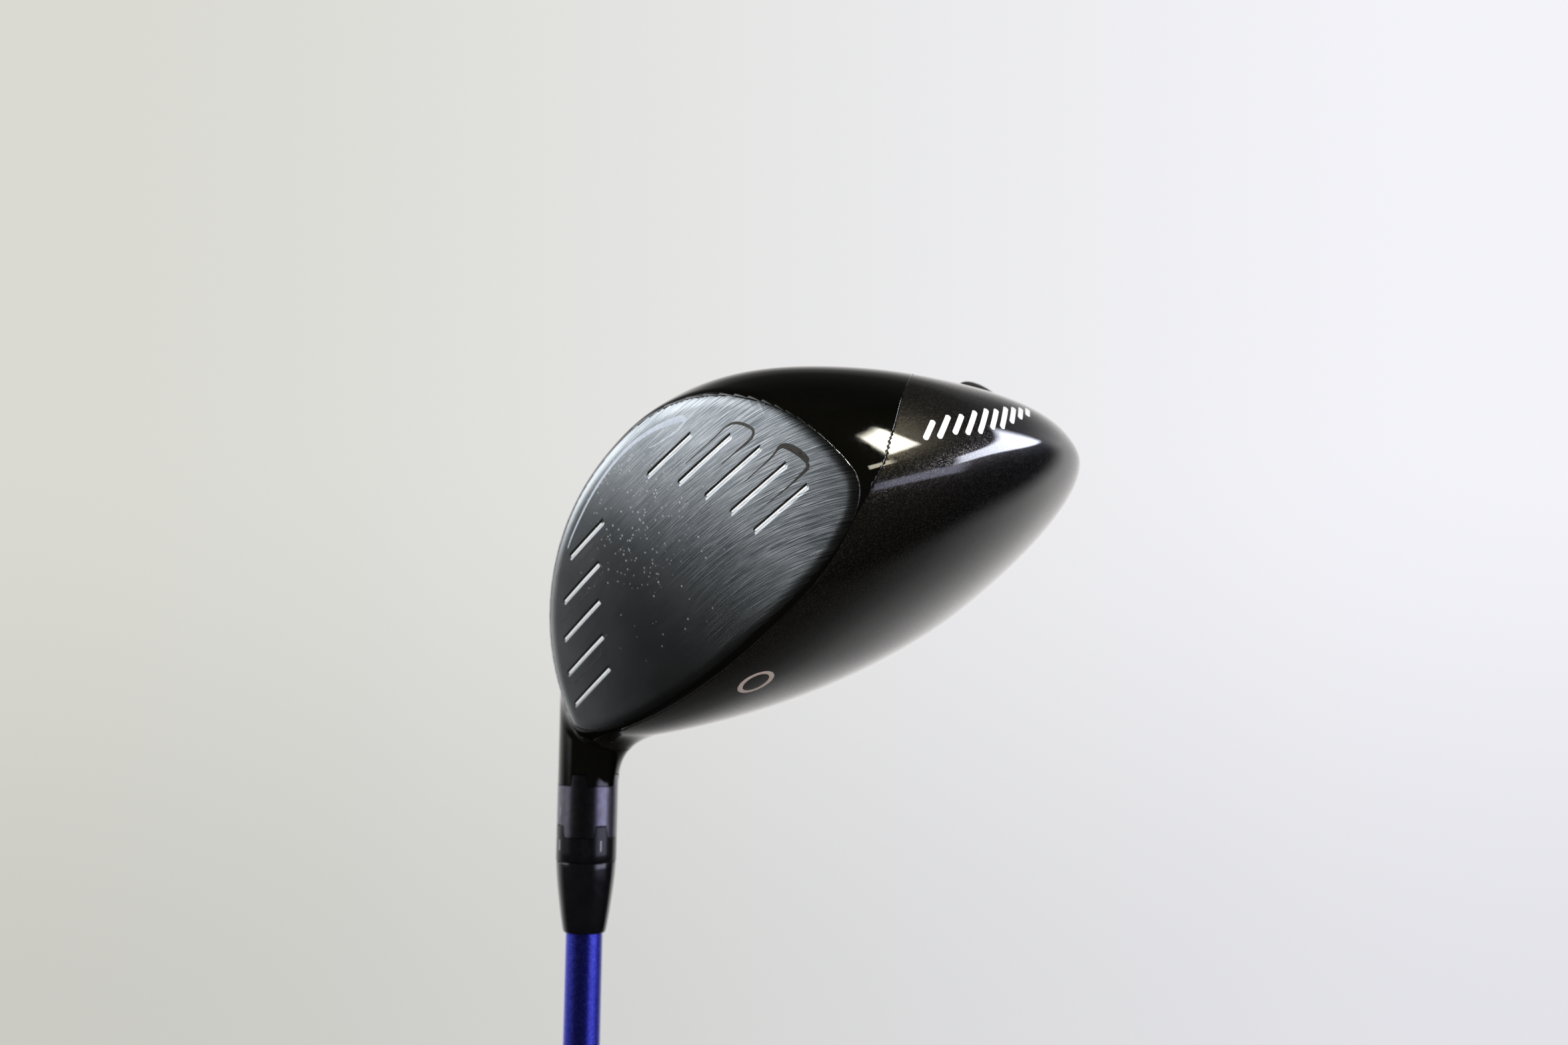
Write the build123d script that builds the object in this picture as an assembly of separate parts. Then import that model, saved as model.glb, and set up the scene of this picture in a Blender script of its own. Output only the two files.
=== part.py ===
from build123d import *
import math
import os

# Right-handed golf driver with an adjustable hosel and a cartridge weight tube.
# Frame: +Z up with the club soled at its lie angle, +X from toe to heel,
# -Y out of the face, +Y to the rear, origin at the sole's rest point.
# Lengths in millimetres, angles in degrees.

# ---- driving dimensions -------------------------------------------------
LOFT = math.radians(10.5)
LIE = math.radians(58.3)        # shaft axis above the ground
CLUB_LENGTH = 1143.0            # ground to butt along the shaft axis
FACE = Vector(6.4, -21.0, 35.6)  # face centre
FACE_R = 305.0                  # bulge and roll radius
FACE_BACK_R = 450.0             # the face's inner surface: thick centre, thin rim
FACE_T = 3.6                    # face thickness at its centre

WALL = 1.2                      # front body wall
SHELL = 0.9                     # crown and rear sole wall
SEAT = 0.8                      # inset of the face plate's edge from the head's surface
JOINT_GAP = 0.05                # gap between separate shells
HAIR = 0.02                     # clearance between closely fitted parts

FACE_OUT = Vector(0, -math.cos(LOFT), math.sin(LOFT))
FACE_UP = Vector(0, math.sin(LOFT), math.cos(LOFT))


# ---- helpers ------------------------------------------------------------
def largest(shape):
    shapes = shape if isinstance(shape, (list, tuple)) else [shape]
    return max((s for part in shapes for s in part.solids()), key=lambda s: s.volume)


def common(a, b):
    return largest(a.intersect(b))


def cut(shape, *tools):
    for tool in tools:
        shape = shape - tool
    return shape


def fuse(shape, *others):
    for other in others:
        shape = shape + other
    return shape


def export(name, shape):
    shape.label = name
    export_step(shape, f"parts/{name}.step")


def save(name, shape):
    """Write the shape's largest solid."""
    export(name, largest(shape))


def frame(origin, z_dir):
    return Plane(origin=origin, x_dir=(0, 1, 0), z_dir=z_dir)


def rod(axis, low, high, radius):
    """Cylinder about a frame's Z axis between two heights."""
    return Solid.make_cylinder(radius, high - low, frame(axis.origin + axis.z_dir * low, axis.z_dir))


def polygon(points):
    return Face(Wire.make_polygon(points, close=True))


def revolve_about(axis, face):
    return Solid.revolve(face, 360, Axis(axis.origin, axis.z_dir))


def section_points(axis, profile):
    """Points of a (radius, height) profile beside a frame's Z axis."""
    return [axis.from_local_coords(Vector(radius, 0, height)) for radius, height in profile]


def turned(axis, profile):
    """Revolve a closed straight-sided (radius, height) outline."""
    return revolve_about(axis, polygon(section_points(axis, profile)))


def turned_smooth(axis, inner, outer):
    """Revolve a profile closed by a spline through outer and straight lines through inner."""
    curve = section_points(axis, outer)
    chain = [curve[-1]] + section_points(axis, inner) + [curve[0]]
    lines = [Edge.make_line(a, b) for a, b in zip(chain, chain[1:])]
    return revolve_about(axis, Face(Wire([Edge.make_spline(curve)] + lines)))


def ball(radius, setback=0.0):
    """Sphere whose front lies the given distance behind the face centre."""
    centre = FACE - FACE_OUT * (radius + setback)
    return Solid.make_sphere(radius, frame(centre, (1, 0, 0)), -90, 90, 360)


LOBES = 6
LOBE_R, LOBE_PITCH_R = 0.62, 1.75
SOCKET_R = 1.9


def lobed_socket(axis, low, high):
    """Cutting tools for a six-lobed driver socket."""
    tools = [rod(axis, low, high, SOCKET_R)]
    for k in range(LOBES):
        a = 2 * math.pi * k / LOBES
        offset = Vector(LOBE_PITCH_R * math.cos(a), LOBE_PITCH_R * math.sin(a), low)
        origin = axis.from_local_coords(offset)
        tools.append(Solid.make_cylinder(LOBE_R, high - low, frame(origin, axis.z_dir)))
    return tools


# ---- hull: the head's outer form, measured from the face centre ----------
DEPTH = 111.859                 # rear pole, behind the face centre
CENTRE_X = (-6.435, -5.77)      # section centre at the face and at the rear pole
CENTRE_Z = (10.105, 4.788, -7.557)  # at the face, at half depth and at the rear pole

# half size, y where it is largest, rear exponent, rear root, front narrowing
EXTENT = {
    "toe": (57.879, 42.194, 2.471, 2.394, 0.264),
    "heel": (61.041, 16.404, 1.401, 2.024, 0.172),
    "crown": (18.397, 28.867, 2.136, 1.956, 0.201),
    "sole": (45.216, 14.762, 1.355, 1.850, 0.093),
}
# superellipse exponent of each corner at the face and at the rear pole
CORNER = {
    ("toe", "crown"): (2.494, 2.009),
    ("toe", "sole"): (2.050, 2.052),
    ("heel", "crown"): (1.804, 2.010),
    ("heel", "sole"): (2.243, 2.324),
}
HULL_FRONT = -13.0
STATIONS = (0, 13, 25, 35, 44, 52, 59.5, 66.5, 72.5, 77.5, 81.8, 85.4)  # sine-spaced, degrees
SECTION_POINTS = 32
SECTION_START = -101.0          # angle of each section's first point


def half_size(y, side, inset):
    size, y_max, power, root, narrowing = EXTENT[side]
    size -= inset
    if y > y_max:
        return size * (1 - ((y - y_max) / (DEPTH - inset - y_max)) ** power) ** (1 / root)
    ahead = (y_max - y) / y_max
    return size * (1 - narrowing * ahead * ahead)


def hull_point(y, angle, inset):
    t = y / DEPTH
    x_face, x_rear = CENTRE_X
    z_face, z_mid, z_rear = CENTRE_Z
    x_centre = x_face + (x_rear - x_face) * t
    z_centre = z_face * (1 - t) * (1 - 2 * t) + z_mid * 4 * t * (1 - t) + z_rear * t * (2 * t - 1)
    across, up = math.cos(angle), math.sin(angle)
    side = "toe" if across < 0 else "heel"
    level = "crown" if up > 0 else "sole"
    n_face, n_rear = CORNER[side, level]
    n = n_face + (n_rear - n_face) * max(t, 0)
    width, height = half_size(y, side, inset), half_size(y, level, inset)
    x = x_centre + width * math.copysign(abs(across) ** (2 / n), across)
    z = z_centre + height * math.copysign(abs(up) ** (2 / n), up)
    return FACE + Vector(x, y, z)


def hull(inset=0.0):
    """Loft of the hull's sections to its rear pole, inset from the outer surface."""
    depth = DEPTH - inset
    parameters = [i / SECTION_POINTS for i in range(SECTION_POINTS + 1)]
    angles = [math.radians(SECTION_START + 360.0 * i / SECTION_POINTS)
              for i in range(SECTION_POINTS)]
    wires = []
    for station in STATIONS:
        y = HULL_FRONT + (depth - HULL_FRONT) * math.sin(math.radians(station))
        points = [hull_point(y, angle, inset) for angle in angles]
        wires.append(Wire([Edge.make_spline(points, periodic=True, parameters=parameters)]))
    pole = FACE + Vector(CENTRE_X[-1], depth, CENTRE_Z[-1])
    return Solid.make_loft(wires + [Vertex(pole.X, pole.Y, pole.Z)])


# ---- regions that divide the head ---------------------------------------
# seam between the front body and the rear shells: (y, z) from the face centre
SEAM = (
    (8.3, 60), (8.3, 40), (8.4, 30), (8.7, 24), (9.2, 18.5),
    (10.3, 16), (12.1, 13.4), (14.2, 10.3), (16.6, 6.5), (19.2, 3.0),
    (24.2, -3.3), (28.9, -7.9), (34.3, -12.4), (41, -17.2), (49, -22),
    (58, -26.8), (69, -31.5), (84, -37), (110, -46), (150, -60),
)
SOLE_LINE_Y, SOLE_LINE_Z = 50, -24.0         # a point on the rear sole's top line
SOLE_LINE_SLOPE = 0.11
REGION_X = 110.0                             # half width of the regions
REGION_FRONT, REGION_REAR, REGION_BOTTOM = -60, 170, -90   # from the face centre


def region_point(y, z):
    return Vector(-REGION_X, FACE.Y + y, FACE.Z + z)


def extrude_across(face):
    return Solid.extrude(face, Vector(2 * REGION_X, 0, 0))


def behind_seam(shift=0.0):
    seam = [region_point(y + shift, z) for y, z in SEAM]
    corners = [region_point(REGION_REAR, SEAM[-1][1]), region_point(REGION_REAR, SEAM[0][1])]
    chain = [seam[-1]] + corners + [seam[0]]
    lines = [Edge.make_line(a, b) for a, b in zip(chain, chain[1:])]
    return extrude_across(Face(Wire([Edge.make_spline(seam)] + lines)))


def below_sole_line(shift=0.0):
    top = [region_point(y, SOLE_LINE_Z + (y - SOLE_LINE_Y) * SOLE_LINE_SLOPE + shift)
           for y in (REGION_FRONT, REGION_REAR)]
    bottom = [region_point(y, REGION_BOTTOM) for y in (REGION_REAR, REGION_FRONT)]
    return extrude_across(polygon(top + bottom))


# ---- shaft axis: positions along it start at face centre height ----------
SHAFT_DIR = Vector(math.cos(LIE), 0, math.sin(LIE))
SHAFT_AXIS = frame(FACE + Vector(50.31, 16.26, 0), SHAFT_DIR)
BUTT = CLUB_LENGTH - FACE.Z / math.sin(LIE)

HOSEL_TOP = 23.90
HOSEL_R = 7.10
HOSEL_TUBE_R = 6.6              # part of the hosel inside the head
BORE_R = 5.15
WEB_LOW, WEB_HIGH = -15.0, -12.0  # web between the bore and the screw well
WEB_HOLE_R = 2.9
SCREW_WELL_R = 4.8
BELOW_HEAD = -60                # beyond the sole
RING_LOW, RING_HIGH = 23.95, 36.00
TAB_H = 2.7
NOTCH_ANGLE = 54.6              # a hosel notch, from +Y about the shaft axis
TAB_ANGLE = 9.6                 # a sleeve tab, likewise
TAB_COUNT = 4


def on_shaft(low, high, radius):
    return rod(SHAFT_AXIS, low, high, radius)


def shaft_point(height):
    return SHAFT_AXIS.origin + SHAFT_DIR * height


def tabs(low, high, low_width, high_width, angle):
    """Trapezoid castellation blocks, evenly spaced and reaching past the hosel's radius."""
    start = BORE_R * 0.6
    blocks = []
    for k in range(TAB_COUNT):
        a = math.radians(angle + 360.0 * k / TAB_COUNT)
        radial = (SHAFT_AXIS.x_dir * math.cos(a) + SHAFT_AXIS.y_dir * math.sin(a)).normalized()
        side = SHAFT_DIR.cross(radial).normalized()
        base, top = shaft_point(low) + radial * start, shaft_point(high) + radial * start
        half_base, half_top = side * (low_width / 2), side * (high_width / 2)
        quad = [base - half_base, base + half_base, top + half_top, top - half_top]
        blocks.append(Solid.extrude(polygon(quad), radial * (HOSEL_R + 2 - start)))
    return blocks


# ---- weight tube axis: heights run out of the mouth, which is at 0 -------
TUBE_AXIS = frame(FACE + Vector(-49.5, 69.0, -17.6), Vector(-0.965, -0.05, -0.257).normalized())
TUBE_LEN = 66.0
TUBE_R, TUBE_BORE_R = 7.5, 6.5
TUBE_FLOOR = -TUBE_LEN + 1.2


def on_tube(low, high, radius):
    return rod(TUBE_AXIS, low, high, radius)


os.makedirs("parts", exist_ok=True)

# ---- solids shared by the head's pieces ---------------------------------
HULL = hull()
HULL_SEAT = hull(SEAT)
HULL_WALL = hull(WALL)
HULL_SHELL = hull(SHELL)
FACE_BALL = ball(FACE_R)
FACE_BACK_BALL = ball(FACE_BACK_R, FACE_T)
CAVITY_BALL = ball(FACE_BACK_R, FACE_T + HAIR)
ABOVE_GROUND = Solid.make_box(260, 260, 300, Plane(origin=(-130, -130, 0)))
HEAD = common(HULL, FACE_BALL)
# space for the face plate, open 5 mm ahead of the face
PLATE_SEAT = largest(cut(common(HULL_SEAT, ball(FACE_R + 5, -5)), FACE_BACK_BALL))

# hosel neck: circles grown and moved by the flare, so their front heel side stays
# in line with the hosel
NECK_DIR = Vector(-0.80, 0.60, 0)
NECK_DIR = (NECK_DIR - SHAFT_DIR * NECK_DIR.dot(SHAFT_DIR)).normalized()
NECK = (  # (height along the shaft axis, flare)
    (23.9, 0.0), (21.5, 0.0), (19.0, 0.35), (16.5, 1.3),
    (14.0, 3.2), (11.5, 6.4), (8.0, 11.0), (2.0, 15.0),
)
NECK_SOLID = Solid.make_loft([
    Wire.make_circle(HOSEL_R + flare, frame(shaft_point(height) + NECK_DIR * flare, SHAFT_DIR))
    for height, flare in NECK])

# ---- face plate and score line paint ------------------------------------
LINE_PITCH, LINE_WIDTH, LINE_DEPTH = 6.576, 0.60, 0.30
MIDDLE_LINE_UP = -3.50          # the middle row, up the face from its centre
LINE_TOOL_H = 2.0
PAINT_SETBACK = 0.06            # paint surface behind the face surface
# ends of each line towards the heel from the face centre, rows from the top down
LINE_ENDS = (
    ((45.7, 28.7), (42.3, 25.4), (37.7, 20.9), (31.5, 15.6), (22.7, 8.6)),
    ((-27.2, -43.4), (-24.5, -41.6), (-20.9, -38.3), (-16.3, -33.3), (-9.8, -24.7)),
)


def score_line(end_a, end_b, up):
    """Bar square to the curved face, sunk to the line's depth."""
    middle, length = (end_a + end_b) / 2, abs(end_b - end_a)
    across = Vector(middle, 0, 0) + FACE_UP * up
    sag = (middle * middle + up * up) / (2 * FACE_R)
    normal = (across + FACE_OUT * FACE_R).normalized()
    along = (Vector(1, 0, 0) - normal * normal.X).normalized()
    floor = FACE + across - FACE_OUT * sag - normal * LINE_DEPTH
    corner = floor - along * (length / 2) - normal.cross(along) * (LINE_WIDTH / 2)
    plane = Plane(origin=corner, x_dir=along, z_dir=normal)
    return Solid.make_box(length, LINE_WIDTH, LINE_TOOL_H, plane)


score_lines = [score_line(*ends, MIDDLE_LINE_UP + LINE_PITCH * (2 - row))
               for side in LINE_ENDS for row, ends in enumerate(side)]
plate_blank = largest(cut(common(HULL_SEAT, FACE_BALL), FACE_BACK_BALL))
save("face_plate", cut(plate_blank, *score_lines))
paint = [common(line, ball(FACE_R, PAINT_SETBACK)) for line in score_lines]
export("scoreline_paint", Compound(children=paint))

# ---- front body and the channel insert in its sole ----------------------
SLOT_LENGTH, SLOT_WIDTH = 48.6, 5.2
SLOT_X, SLOT_Y, SLOT_Z = 0.8, 9.0, -45   # middle in x and y, bottom in z, from the face centre
INSERT_PLAY = 0.2               # insert smaller than the slot, both ways
INSERT_INNER_INSET = 4.0        # insert's inner surface, inward from the hull


def slot_box(length, width):
    corner = FACE + Vector(SLOT_X - length / 2, SLOT_Y - width / 2, SLOT_Z)
    return Solid.make_box(length, width, 20, Plane(origin=corner))


def front_body():
    cavity = common(HULL_WALL, CAVITY_BALL)
    body = largest(cut(HEAD, PLATE_SEAT, cavity, behind_seam()))
    neck = cut(common(NECK_SOLID, FACE_BALL), cavity, PLATE_SEAT)
    head_and_neck = largest(fuse(HULL, NECK_SOLID))
    tube = cut(common(on_shaft(-40, HOSEL_TOP, HOSEL_TUBE_R), head_and_neck), PLATE_SEAT)
    body = fuse(body, largest(neck), tube)
    body = cut(largest(body),
               on_shaft(WEB_HIGH, HOSEL_TOP + 5, BORE_R),
               on_shaft(BELOW_HEAD, WEB_LOW, SCREW_WELL_R),
               on_shaft(BELOW_HEAD, 0, WEB_HOLE_R))
    body = cut(body, slot_box(SLOT_LENGTH, SLOT_WIDTH))
    body = common(body, ABOVE_GROUND)
    # notches in the hosel's end for the ring's tabs
    return cut(body, *tabs(HOSEL_TOP - TAB_H, HOSEL_TOP + 1, 3.6, 4.4, NOTCH_ANGLE))


save("front_body", front_body())
insert_box = slot_box(SLOT_LENGTH - INSERT_PLAY, SLOT_WIDTH - INSERT_PLAY)
save("channel_insert", cut(common(HULL_SEAT, insert_box), hull(INSERT_INNER_INSET)))

# ---- crown and skirt, rear sole -----------------------------------------
rear_shell = common(cut(HEAD, common(HULL_SHELL, CAVITY_BALL)), behind_seam(JOINT_GAP))
tube_port = on_tube(-TUBE_LEN - 2, 30, TUBE_R + HAIR)
neck_clearance = on_shaft(-2.0, HOSEL_TOP, HOSEL_R + 3.2)
hosel_clearance = on_shaft(BELOW_HEAD, 40, HOSEL_TUBE_R + JOINT_GAP)
save("crown_skirt_shell", cut(rear_shell, PLATE_SEAT, below_sole_line(), NECK_SOLID,
                              neck_clearance, hosel_clearance, tube_port))
rear_sole = common(largest(cut(rear_shell, tube_port)), below_sole_line(-JOINT_GAP))
save("rear_sole_shell", common(rear_sole, ABOVE_GROUND))

# ---- weight tube, bumper and cartridge ----------------------------------
BUMPER_T = 3.0
CART_R, CART_LEN = 6.42, 46.0
CART_WALL = 1.0                 # end wall
CHAMBER_R = 5.2
CART_LOW = TUBE_FLOOR + BUMPER_T + 0.05
CART_HIGH = CART_LOW + CART_LEN
SPLIT = CART_LOW + 17.0         # where the heavy slug meets the light one
CHAMBERS = ((CART_LOW + CART_WALL, SPLIT), (SPLIT, CART_HIGH - CART_WALL))
CART_HOLE_R = 2.6               # hole in the end nearer the mouth

save("weight_tube", cut(common(on_tube(-TUBE_LEN, 12, TUBE_R), HULL),
                        on_tube(TUBE_FLOOR, 30, TUBE_BORE_R)))
save("tube_bumper", on_tube(TUBE_FLOOR, TUBE_FLOOR + BUMPER_T, CART_R))
save("weight_cartridge", cut(on_tube(CART_LOW, CART_HIGH, CART_R),
                             *[on_tube(low, high, CHAMBER_R) for low, high in CHAMBERS],
                             on_tube(CART_HIGH - 1.5, CART_HIGH + 1, CART_HOLE_R)))
for name, (low, high) in zip(("tungsten_slug", "light_slug"), CHAMBERS):
    save(name, on_tube(low + HAIR, high - HAIR, CHAMBER_R - HAIR))

# ---- weight cap and its seal ring ---------------------------------------
CAP_LOW = CART_HIGH + 0.3
CAP_TOP = 0.3
CAP_R, CAP_FOOT_R = 6.35, 6.2
GROOVE_LOW, GROOVE_HIGH, GROOVE_R = CAP_LOW + 4.3, CAP_LOW + 6.1, 5.35
CAP_DOME = ((CAP_R, -1.5), (6.25, -0.7), (5.9, -0.15), (5.2, 0.15), (4.2, CAP_TOP))
CAP_BODY = (
    (0.0, CAP_TOP), (0.0, CAP_LOW), (CAP_FOOT_R, CAP_LOW), (CAP_FOOT_R, GROOVE_LOW),
    (GROOVE_R, GROOVE_LOW), (GROOVE_R, GROOVE_HIGH), (CAP_R, GROOVE_HIGH),
)
CAP_SOCKET_FLOOR = -3.2

save("cap_o_ring", cut(on_tube(GROOVE_LOW + 0.1, GROOVE_HIGH - 0.1, 6.46),
                       on_tube(CAP_LOW, CAP_LOW + 8, 5.42)))
save("weight_cap", cut(turned_smooth(TUBE_AXIS, CAP_BODY, CAP_DOME),
                       *lobed_socket(TUBE_AXIS, CAP_SOCKET_FLOOR, 2)))

# ---- hosel screw, washer and retainer -----------------------------------
SCREW_LOW, SCREW_HEAD_HIGH, SCREW_HIGH = -20.5, -16.05, -5.2
SCREW_HEAD_R, SHANK_R = 4.3, 2.45
SCREW_SOCKET_DEPTH = 2.8

screw = fuse(on_shaft(SCREW_LOW, SCREW_HEAD_HIGH, SCREW_HEAD_R),
             on_shaft(SCREW_HEAD_HIGH - 0.2, SCREW_HIGH, SHANK_R))
save("hosel_screw", cut(screw, *lobed_socket(SHAFT_AXIS, SCREW_LOW - 1,
                                             SCREW_LOW + SCREW_SOCKET_DEPTH)))
save("screw_washer", cut(on_shaft(-16.0, WEB_LOW - HAIR, 4.6),
                         on_shaft(-17, WEB_LOW + 1, 2.6)))
save("screw_retainer", cut(on_shaft(WEB_HIGH + HAIR, WEB_HIGH + 1.4, 4.95),
                           on_shaft(WEB_HIGH - 1, WEB_HIGH + 3, 2.55)))


# ---- adjusting ring: tabs below, notches above --------------------------
def adjust_ring():
    tab_low = HOSEL_TOP - TAB_H
    ring = cut(on_shaft(RING_LOW, RING_HIGH, HOSEL_R),
               on_shaft(RING_LOW - 1, RING_HIGH + 1, BORE_R))
    ring_tabs = []
    for block in tabs(tab_low + 0.08, RING_LOW + 0.4, 3.44, 4.16, NOTCH_ANGLE):
        tab = common(block, on_shaft(tab_low, RING_LOW + 0.5, HOSEL_R))
        ring_tabs.append(largest(cut(tab, on_shaft(0, 60, BORE_R))))
    ring = fuse(ring, *ring_tabs)
    return cut(ring, *tabs(RING_HIGH - TAB_H - 0.06, RING_HIGH + 1.0, 2.76, 4.3, TAB_ANGLE))


save("adjust_ring", adjust_ring())

# ---- shaft sleeve and its insert ----------------------------------------
SLEEVE_R = 5.10
SLEEVE_FOOT = -10.4
COLLAR_LOW, COLLAR_HIGH = 36.05, 41.70
SHAFT_BORE_R, SHAFT_BORE_FLOOR = 4.35, -3.0
INSERT_BORE_R = 3.6


def shaft_sleeve():
    sleeve = fuse(on_shaft(SLEEVE_FOOT, COLLAR_LOW + 1, SLEEVE_R),
                  on_shaft(COLLAR_LOW, COLLAR_HIGH, HOSEL_R))
    tab_low = RING_HIGH - TAB_H
    # the tabs start 0.3 mm inside the sleeve's surface so that they fuse with it
    sleeve_tabs = [common(block, cut(on_shaft(tab_low - 1, COLLAR_LOW + 0.5, HOSEL_R),
                                     on_shaft(0, 60, SLEEVE_R - 0.3)))
                   for block in tabs(tab_low, COLLAR_LOW + 0.4, 2.6, 4.0, TAB_ANGLE)]
    return cut(fuse(sleeve, *sleeve_tabs),
               on_shaft(SHAFT_BORE_FLOOR, COLLAR_HIGH + 1, SHAFT_BORE_R),
               on_shaft(SLEEVE_FOOT - 1, SHAFT_BORE_FLOOR + 0.1, INSERT_BORE_R))


save("shaft_sleeve", shaft_sleeve())
save("sleeve_insert", cut(
    on_shaft(SLEEVE_FOOT + 0.1, SHAFT_BORE_FLOOR - 0.05, INSERT_BORE_R - HAIR),
    on_shaft(SLEEVE_FOOT - 1, 0, 2.5)))

# ---- ferrule ------------------------------------------------------------
FERRULE_LOW, FERRULE_HIGH = COLLAR_HIGH + 0.03, 58.30
FERRULE_OUTER = (
    (HOSEL_R - HAIR, FERRULE_LOW), (7.05, 43.2), (6.75, 46.5), (6.2, 51.0),
    (5.6, 55.2), (5.2, 57.4), (4.85, FERRULE_HIGH - 0.12), (4.6, FERRULE_HIGH),
)
FERRULE_INNER = ((SHAFT_BORE_R, FERRULE_HIGH), (SHAFT_BORE_R, FERRULE_LOW))
save("ferrule", turned_smooth(SHAFT_AXIS, FERRULE_INNER, FERRULE_OUTER))

# ---- shaft: parallel tip, then a straight taper to the butt --------------
SHAFT_LOW, TAPER_LOW, SHAFT_HIGH = -2.6, 75.0, BUTT - 6.0
TIP_R, SHAFT_BUTT_R = 4.30, 7.6
TIP_INNER_R = 2.3
SHAFT_PROFILE = (
    (TIP_INNER_R, SHAFT_LOW), (TIP_R, SHAFT_LOW), (TIP_R, TAPER_LOW),
    (SHAFT_BUTT_R, SHAFT_HIGH), (SHAFT_BUTT_R - 1.0, SHAFT_HIGH), (3.0, TAPER_LOW),
)
save("shaft", turned(SHAFT_AXIS, SHAFT_PROFILE))
save("shaft_tip_plug", on_shaft(SHAFT_LOW + 0.2, SHAFT_LOW + 8, TIP_INNER_R - HAIR))


def shaft_radius(height):
    return TIP_R + (SHAFT_BUTT_R - TIP_R) * (height - TAPER_LOW) / (SHAFT_HIGH - TAPER_LOW)


# ---- grip tape and grip -------------------------------------------------
TAPE_T = 0.25
VENT_R = 2.0
GRIP_LOW = BUTT - 270.0
GRIP_FLOOR = SHAFT_HIGH + 0.1   # inner face of the grip's closed end
TAPE_LOW = GRIP_LOW + 2
TAPE_LOW_R = shaft_radius(TAPE_LOW)
save("grip_tape", turned(SHAFT_AXIS, (
    (TAPE_LOW_R + 0.01, TAPE_LOW), (TAPE_LOW_R + TAPE_T, TAPE_LOW),
    (SHAFT_BUTT_R + TAPE_T, SHAFT_HIGH), (SHAFT_BUTT_R + 0.01, SHAFT_HIGH))))

GRIP_LOW_R = shaft_radius(GRIP_LOW) + TAPE_T + HAIR
GRIP_HIGH_R = SHAFT_BUTT_R + TAPE_T + HAIR
GRIP_OUTER = (
    (GRIP_LOW_R + 1.25, GRIP_LOW), (GRIP_LOW_R + 1.6, GRIP_LOW + 2),
    (GRIP_LOW_R + 1.9, GRIP_LOW + 12), (10.9, GRIP_LOW + 70), (11.7, GRIP_LOW + 140),
    (12.5, GRIP_LOW + 200), (13.2, BUTT - 16), (13.75, BUTT - 6), (13.6, BUTT - 2.2),
    (12.6, BUTT - 0.4), (11.6, BUTT),
)
GRIP_INNER = (
    (VENT_R, BUTT), (VENT_R, GRIP_FLOOR), (GRIP_HIGH_R, GRIP_FLOOR), (GRIP_LOW_R, GRIP_LOW),
)
save("grip", turned_smooth(SHAFT_AXIS, GRIP_INNER, GRIP_OUTER))

# ---- tacky rattle catcher on the inside of the sole ----------------------
PATCH_SIZE = Vector(22, 16, 14)
PATCH_CENTRE = FACE + Vector(-8, 52, -26.5)
PATCH_OUTER_INSET, PATCH_INNER_INSET = WALL + 0.1, WALL + 2.6

patch_box = Solid.make_box(*PATCH_SIZE, Plane(origin=PATCH_CENTRE - PATCH_SIZE * 0.5))
save("hot_melt_patch", cut(common(patch_box, hull(PATCH_OUTER_INSET)), hull(PATCH_INNER_INSET)))
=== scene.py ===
# A golf driver: head, adjusting ring, shaft sleeve, ferrule, shaft and grip.
# The sole rests on z = 0 with +z up. The face looks towards -y, the rear lies towards +y,
# the heel and the shaft towards +x and the toe towards -x.
# Geometry is worked out in millimetres and turned into metres when a mesh is made.
# Along the shaft, t is the height up the axis from AXIS_O and r the distance from the axis.
import math

import bmesh
import bpy
import numpy as np
from mathutils import Matrix, Vector
from mathutils.bvhtree import BVHTree


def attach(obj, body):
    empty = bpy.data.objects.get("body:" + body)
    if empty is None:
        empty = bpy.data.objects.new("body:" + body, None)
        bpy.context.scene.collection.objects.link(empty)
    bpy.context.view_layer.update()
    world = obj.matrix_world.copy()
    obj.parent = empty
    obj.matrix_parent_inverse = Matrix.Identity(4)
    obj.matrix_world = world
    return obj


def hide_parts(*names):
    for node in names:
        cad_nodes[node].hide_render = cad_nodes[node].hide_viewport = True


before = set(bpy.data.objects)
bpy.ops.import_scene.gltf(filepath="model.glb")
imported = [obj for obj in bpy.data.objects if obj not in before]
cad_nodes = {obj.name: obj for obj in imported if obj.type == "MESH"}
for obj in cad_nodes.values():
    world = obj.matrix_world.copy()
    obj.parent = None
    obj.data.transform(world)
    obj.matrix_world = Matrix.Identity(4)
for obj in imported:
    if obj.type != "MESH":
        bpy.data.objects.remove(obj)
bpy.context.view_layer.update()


MM = 0.001

# ------------------------------------------------------------------ driving dimensions
LOFT = math.radians(10.5)
LIE = math.radians(58.3)
FACE_O = np.array([6.4, -21.0, 35.6])           # centre of the face
BALL_R = 305.0                                  # the face is part of this large ball
BALL_C = FACE_O + BALL_R * np.array([0, math.cos(LOFT), -math.sin(LOFT)])
FACE_UP = np.array([0, math.sin(LOFT), math.cos(LOFT)])

AXIS = np.array([math.cos(LIE), 0.0, math.sin(LIE)])      # up the shaft
AXIS_O = FACE_O + np.array([50.31, 16.26, 0.0])
AXIS_X = np.array([0.0, 1.0, 0.0])                        # angle 0 about the shaft
AXIS_Y = np.cross(AXIS, AXIS_X)                           # angle 90 about the shaft

HOSEL_TOP, HOSEL_R, BORE_R = 23.9, 7.1, 5.15
NOTCH_START = 54.6      # angle in degrees of the hosel's first notch
TAB_START = 9.6         # angle in degrees of the sleeve's first tab
WELL_R = 4.8            # screw well in the heel of the sole

# Hull, from the face centre: centre line and four half-sizes that vary with y
HULL_LEN = 111.859
CENTRE_X = (-6.435, -5.77)              # front, rear
CENTRE_Z = (10.105, 4.788, -7.557)      # front, middle, rear
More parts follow.
